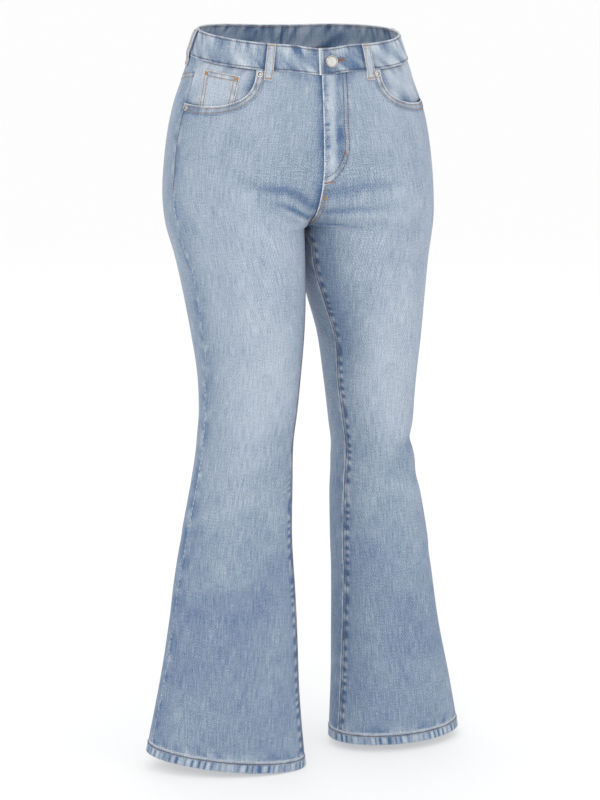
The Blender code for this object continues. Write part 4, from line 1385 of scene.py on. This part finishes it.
down = np.linspace(0.03, 0.96, 24)
for inset in rowsAt["coin"]:
    for across, drop in (
        (inset / 0.056 + 0 * down, down), (1.0 - inset / 0.056 + 0 * down, down),
        (np.linspace(0.03, 0.97, 26), np.full(26, inset / 0.052)),
    ):
        share, level, _, depth = coinSpot(across, drop)
        sewOn("coin_pocket", "coin_pocket", "right", "front", share, level, depth)
for across in (0.075, 0.925):
    around = np.array((across - 0.05, across, across + 0.05, across))
    share, level, _, depth = coinSpot(around, np.array((0.09, 0.09, 0.09, 0.16)))
    sewBar("coin_tacks", "coin_pocket", onSkin("right", "front", share, level, depth)[0], (0.0058, 0.0036))

# tacks on the fly's inner row and at its foot
for away, level, upright, size in (
    (innerRow, 0.152, True, (0.0075, 0.0019)),
    (0.0070, fly["foot"] - 0.0005, False, (0.0125, 0.0019)),
    (0.0050, 0.196, True, (0.0070, 0.0030)),
):
    aways = np.array((away - 0.002, away, away + 0.002, away))
    levels = np.array((level, level, level, level + 0.004))
    spots = onSkin("left", "front", 1.0 - aways / girth("left", "front", levels), levels, 0.003)[0]
    sewBar("fly_tacks", "front_left", spots, size, upright)


def onBandEnd(away, level):
    # a point of the band's face, so far from its centre front
    share = 4.0 - leftFront(away)
    return roundWaist(np.array([share]), level, band["outside"] + bandRaise(share))[0][0]


# buttonhole: short threads square to the slit, and a fan round its eye
for n in range(hole["threads"] + hole["fan"]):
    run = hole["start"] + hole["length"] * min(n, hole["threads"]) / hole["threads"]
    past = max(n - hole["threads"], 0)
    turn = math.pi / 2 - math.pi * past / hole["fan"]
    for hand in (1.0,) if past else (1.0, -1.0):
        one, two = (
            onBandEnd(run + away * math.cos(turn), button["level"] + hand * away * math.sin(turn))
            for away in (hole["inner"], hole["outer"])
        )
        addStitch("buttonhole_tacks", "waistband", one, two, 0.00032, 0.0002)

quarter = np.linspace(-0.14, 4.0, 420)
for level in (rowsAt["band"], cut["waistband"] - rowsAt["band"]):
    line = roundWaist(quarter, level, band["outside"] + bandRaise(quarter))[0]
    sewLine("waistband_rows", "waistband", line)
    sewLine("waistband_inside", "waistband", line, -band["outside"] - band["inside"] - 0.0002)
line = roundWaist(4.0 - leftFront(0.0030), np.linspace(0.003, 0.033, 12), 0.005)[0]
sewLine("waistband_rows", "waistband", line)

for name, quarter in loops.items():
    for across in (0.13, 0.87):
        sewLine("loop_rows", name, loopSpot(quarter, np.full(30, across), np.linspace(0.03, 0.97, 30))[0])
    for down in (0.045, 0.945):
        across, drop = np.array(((0.1, down), (0.5, down), (0.9, down), (0.5, down + 0.02))).T
        spots = loopSpot(quarter, across, drop)[0]
        sewBar("loop_tacks", name, spots, (0.0088, 0.0017))


def makeStitches(name, material):
    places = stitches[name]
    count = len(stitchCorners)
    faces = [tuple(v + n * count for v in face) for n in range(len(places)) for face in stitchFaces]
    mesh = bpy.data.meshes.new("stitches_" + name)
    mesh.from_pydata(np.concatenate(places).tolist(), [], faces)
    mesh.materials.append(material)
    addPiece(mesh)


tanRows = (
    "coin_pocket", "loop_rows", "crotch_seam", "pockets_right", "pockets_left", "yoke_right", "yoke_left",
    "waistband_inside",
)
for name in stitches:
    makeStitches(name, amberThread if "tacks" in name else tanThread if name in tanRows else brownThread)
print("stitches:", sum(len(places) for places in stitches.values()))

# button and rivets
rivetRadius = 0.0044


def turnedPiece(profile, sides, node, dark):
    # spins a profile of (radius, height) and puts it where the node stands. Rings of radii in dark get the dark
    # steel: painted shade in the groove and hollow, a painted dark reflection on the rims, and tarnish
    corners = np.array([vert.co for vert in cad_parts[node].data.vertices])
    centre = corners.mean(axis=0)
    _, _, axes = np.linalg.svd(corners - centre, full_matrices=False)
    normal = Vector(axes[2])
    if normal.dot(Vector((centre[0], centre[1] - 0.002, 0.0))) < 0.0:
        normal.negate()
    foot = min((Vector(corner) - Vector(centre)).dot(normal) for corner in corners)
    bm = bmesh.new()
    points = [bm.verts.new((radius, 0.0, height)) for radius, height in profile]
    geom = points + [bm.edges.new(pair) for pair in zip(points, points[1:])]
    bmesh.ops.spin(bm, geom=geom, axis=(0, 0, 1), cent=(0, 0, 0), steps=sides, angle=math.tau, use_merge=True)
    bmesh.ops.remove_doubles(bm, verts=bm.verts, dist=1e-6)
    bmesh.ops.recalc_face_normals(bm, faces=bm.faces)
    for face in bm.faces:
        away = face.calc_center_median().xy.length
        face.material_index = int(any(low < away < high for low, high in dark))
    turn = Vector((0, 0, 1)).rotation_difference(normal).to_matrix().to_4x4()
    bmesh.ops.transform(bm, matrix=Matrix.Translation(Vector(centre) + normal * foot) @ turn, verts=bm.verts)
    addPiece(toMesh(bm, "metal_" + node, (steel, steelShadeAndTarnish)), node)


r = button["radius"]
buttonProfile = [
    (0.0, 0.0), (r * 0.45, 0.0), (r * 0.45, 0.0013), (r * 0.97, 0.0015), (r, 0.0018), (r, 0.0024),
    (r * 0.97, 0.0029), (r * 0.92, 0.0032), (r * 0.86, 0.0032), (r * 0.81, 0.0029), (r * 0.78, 0.0028),
    (r * 0.55, 0.0031), (r * 0.28, 0.0033), (0.0, 0.0034),
]
turnedPiece(buttonProfile, 56, "button", ((0.79 * r, 0.87 * r), (0.975 * r, 2 * r)))
r = rivetRadius
rivetProfile = [
    (0.0, 0.0), (r, 0.0), (r, 0.0004), (r * 0.95, 0.0008), (r * 0.84, 0.0011), (r * 0.70, 0.0010),
    (r * 0.58, 0.0005), (r * 0.46, 0.0003), (r * 0.36, 0.0005), (r * 0.22, 0.0012), (0.0, 0.0014),
]
for side in outward:
    for spot in ("top", "side"):
        turnedPiece(rivetProfile, 28, "rivet_" + spot + "_" + side, ((0.36 * r, 0.70 * r), (0.94 * r, 2 * r)))
print("metal ready")

# what each sheet was cut to: width and length in metres, and its area
flats = {
    "front": (0.255, 0.975, 0.192),
    "back": (0.345, 0.985, 0.258),
    "yoke": (0.240, 0.062, 0.009),
    "pocket_facing": (0.170, 0.084, 0.011),
    "back_pocket": (0.140, 0.135, 0.017),
    "hem": (0.570, 0.020, None),
    "waistband": (0.800, 0.036, None),
    "coin_pocket": (0.060, 0.052, None),
    "fly_shield": (0.040, 0.109, None),
    "belt_loop": (0.011, 0.053, None),
}
for name, made in pieces.items():
    kind = next(key for key in sorted(flats, key=len, reverse=True) if name.startswith(key))
    width, length, area = flats[kind]

# floor, light and camera
white = (1.0, 1.0, 1.0, 1.0)


def makeFloor():
    material = newMaterial("paleFloor", {
        "Base Color": (0.50, 0.50, 0.50, 1.0), "Emission Color": white, "Emission Strength": 0.47,
        "Roughness": 0.9, "Specular IOR Level": 0.1,
    })[0]
    bm = bmesh.new()
    bmesh.ops.create_grid(bm, x_segments=1, y_segments=1, size=40.0)
    bmesh.ops.translate(bm, verts=bm.verts, vec=(0, 0, cadBox[0].z - 0.0005))
    floor = bpy.data.objects.new("floor", toMesh(bm, "floor", (material,)))
    scene.collection.objects.link(floor)


def addAimed(name, data, place, direction):
    made = bpy.data.objects.new(name, data)
    made.location = place
    made.rotation_euler = direction.to_track_quat("-Z", "Y").to_euler()
    scene.collection.objects.link(made)
    return made


def areaLight(name, place, target, size, power):
    data = bpy.data.lights.new(name, "AREA")
    data.size = size
    data.energy = power
    addAimed(name, data, place, Vector(target) - Vector(place))


makeFloor()
world = bpy.data.worlds.new("softRoom")
world.use_nodes = True
sky = world.node_tree.nodes["Background"].inputs
sky["Color"].default_value = white
sky["Strength"].default_value = 1.0
scene.world = world
areaLight("keyLight", (-1.8, -3.2, 1.6), (0, 0, -0.45), 1.6, 26.0)
areaLight("fillLight", (2.6, -2.4, 0.6), (0, 0, -0.5), 2.0, 8.0)
areaLight("backLight", (0.6, 2.8, 1.8), (0, 0, -0.4), 2.0, 14.0)

view = {"azimuth": -18.0, "elevation": 11.2, "distance": 4.28, "lens": 138.0, "target": (0.001, 0.0, -0.51)}
azimuth, elevation = math.radians(view["azimuth"]), math.radians(view["elevation"])
flat = math.cos(elevation)
back = Vector((math.sin(azimuth) * flat, -math.cos(azimuth) * flat, math.sin(elevation)))
cameraData = bpy.data.cameras.new("photoCamera")
cameraData.lens = view["lens"]
cameraData.sensor_width = 36.0
scene.camera = addAimed("photoCamera", cameraData, Vector(view["target"]) + back * view["distance"], -back)
scene.view_settings.view_transform = "Standard"

print("scene ready")
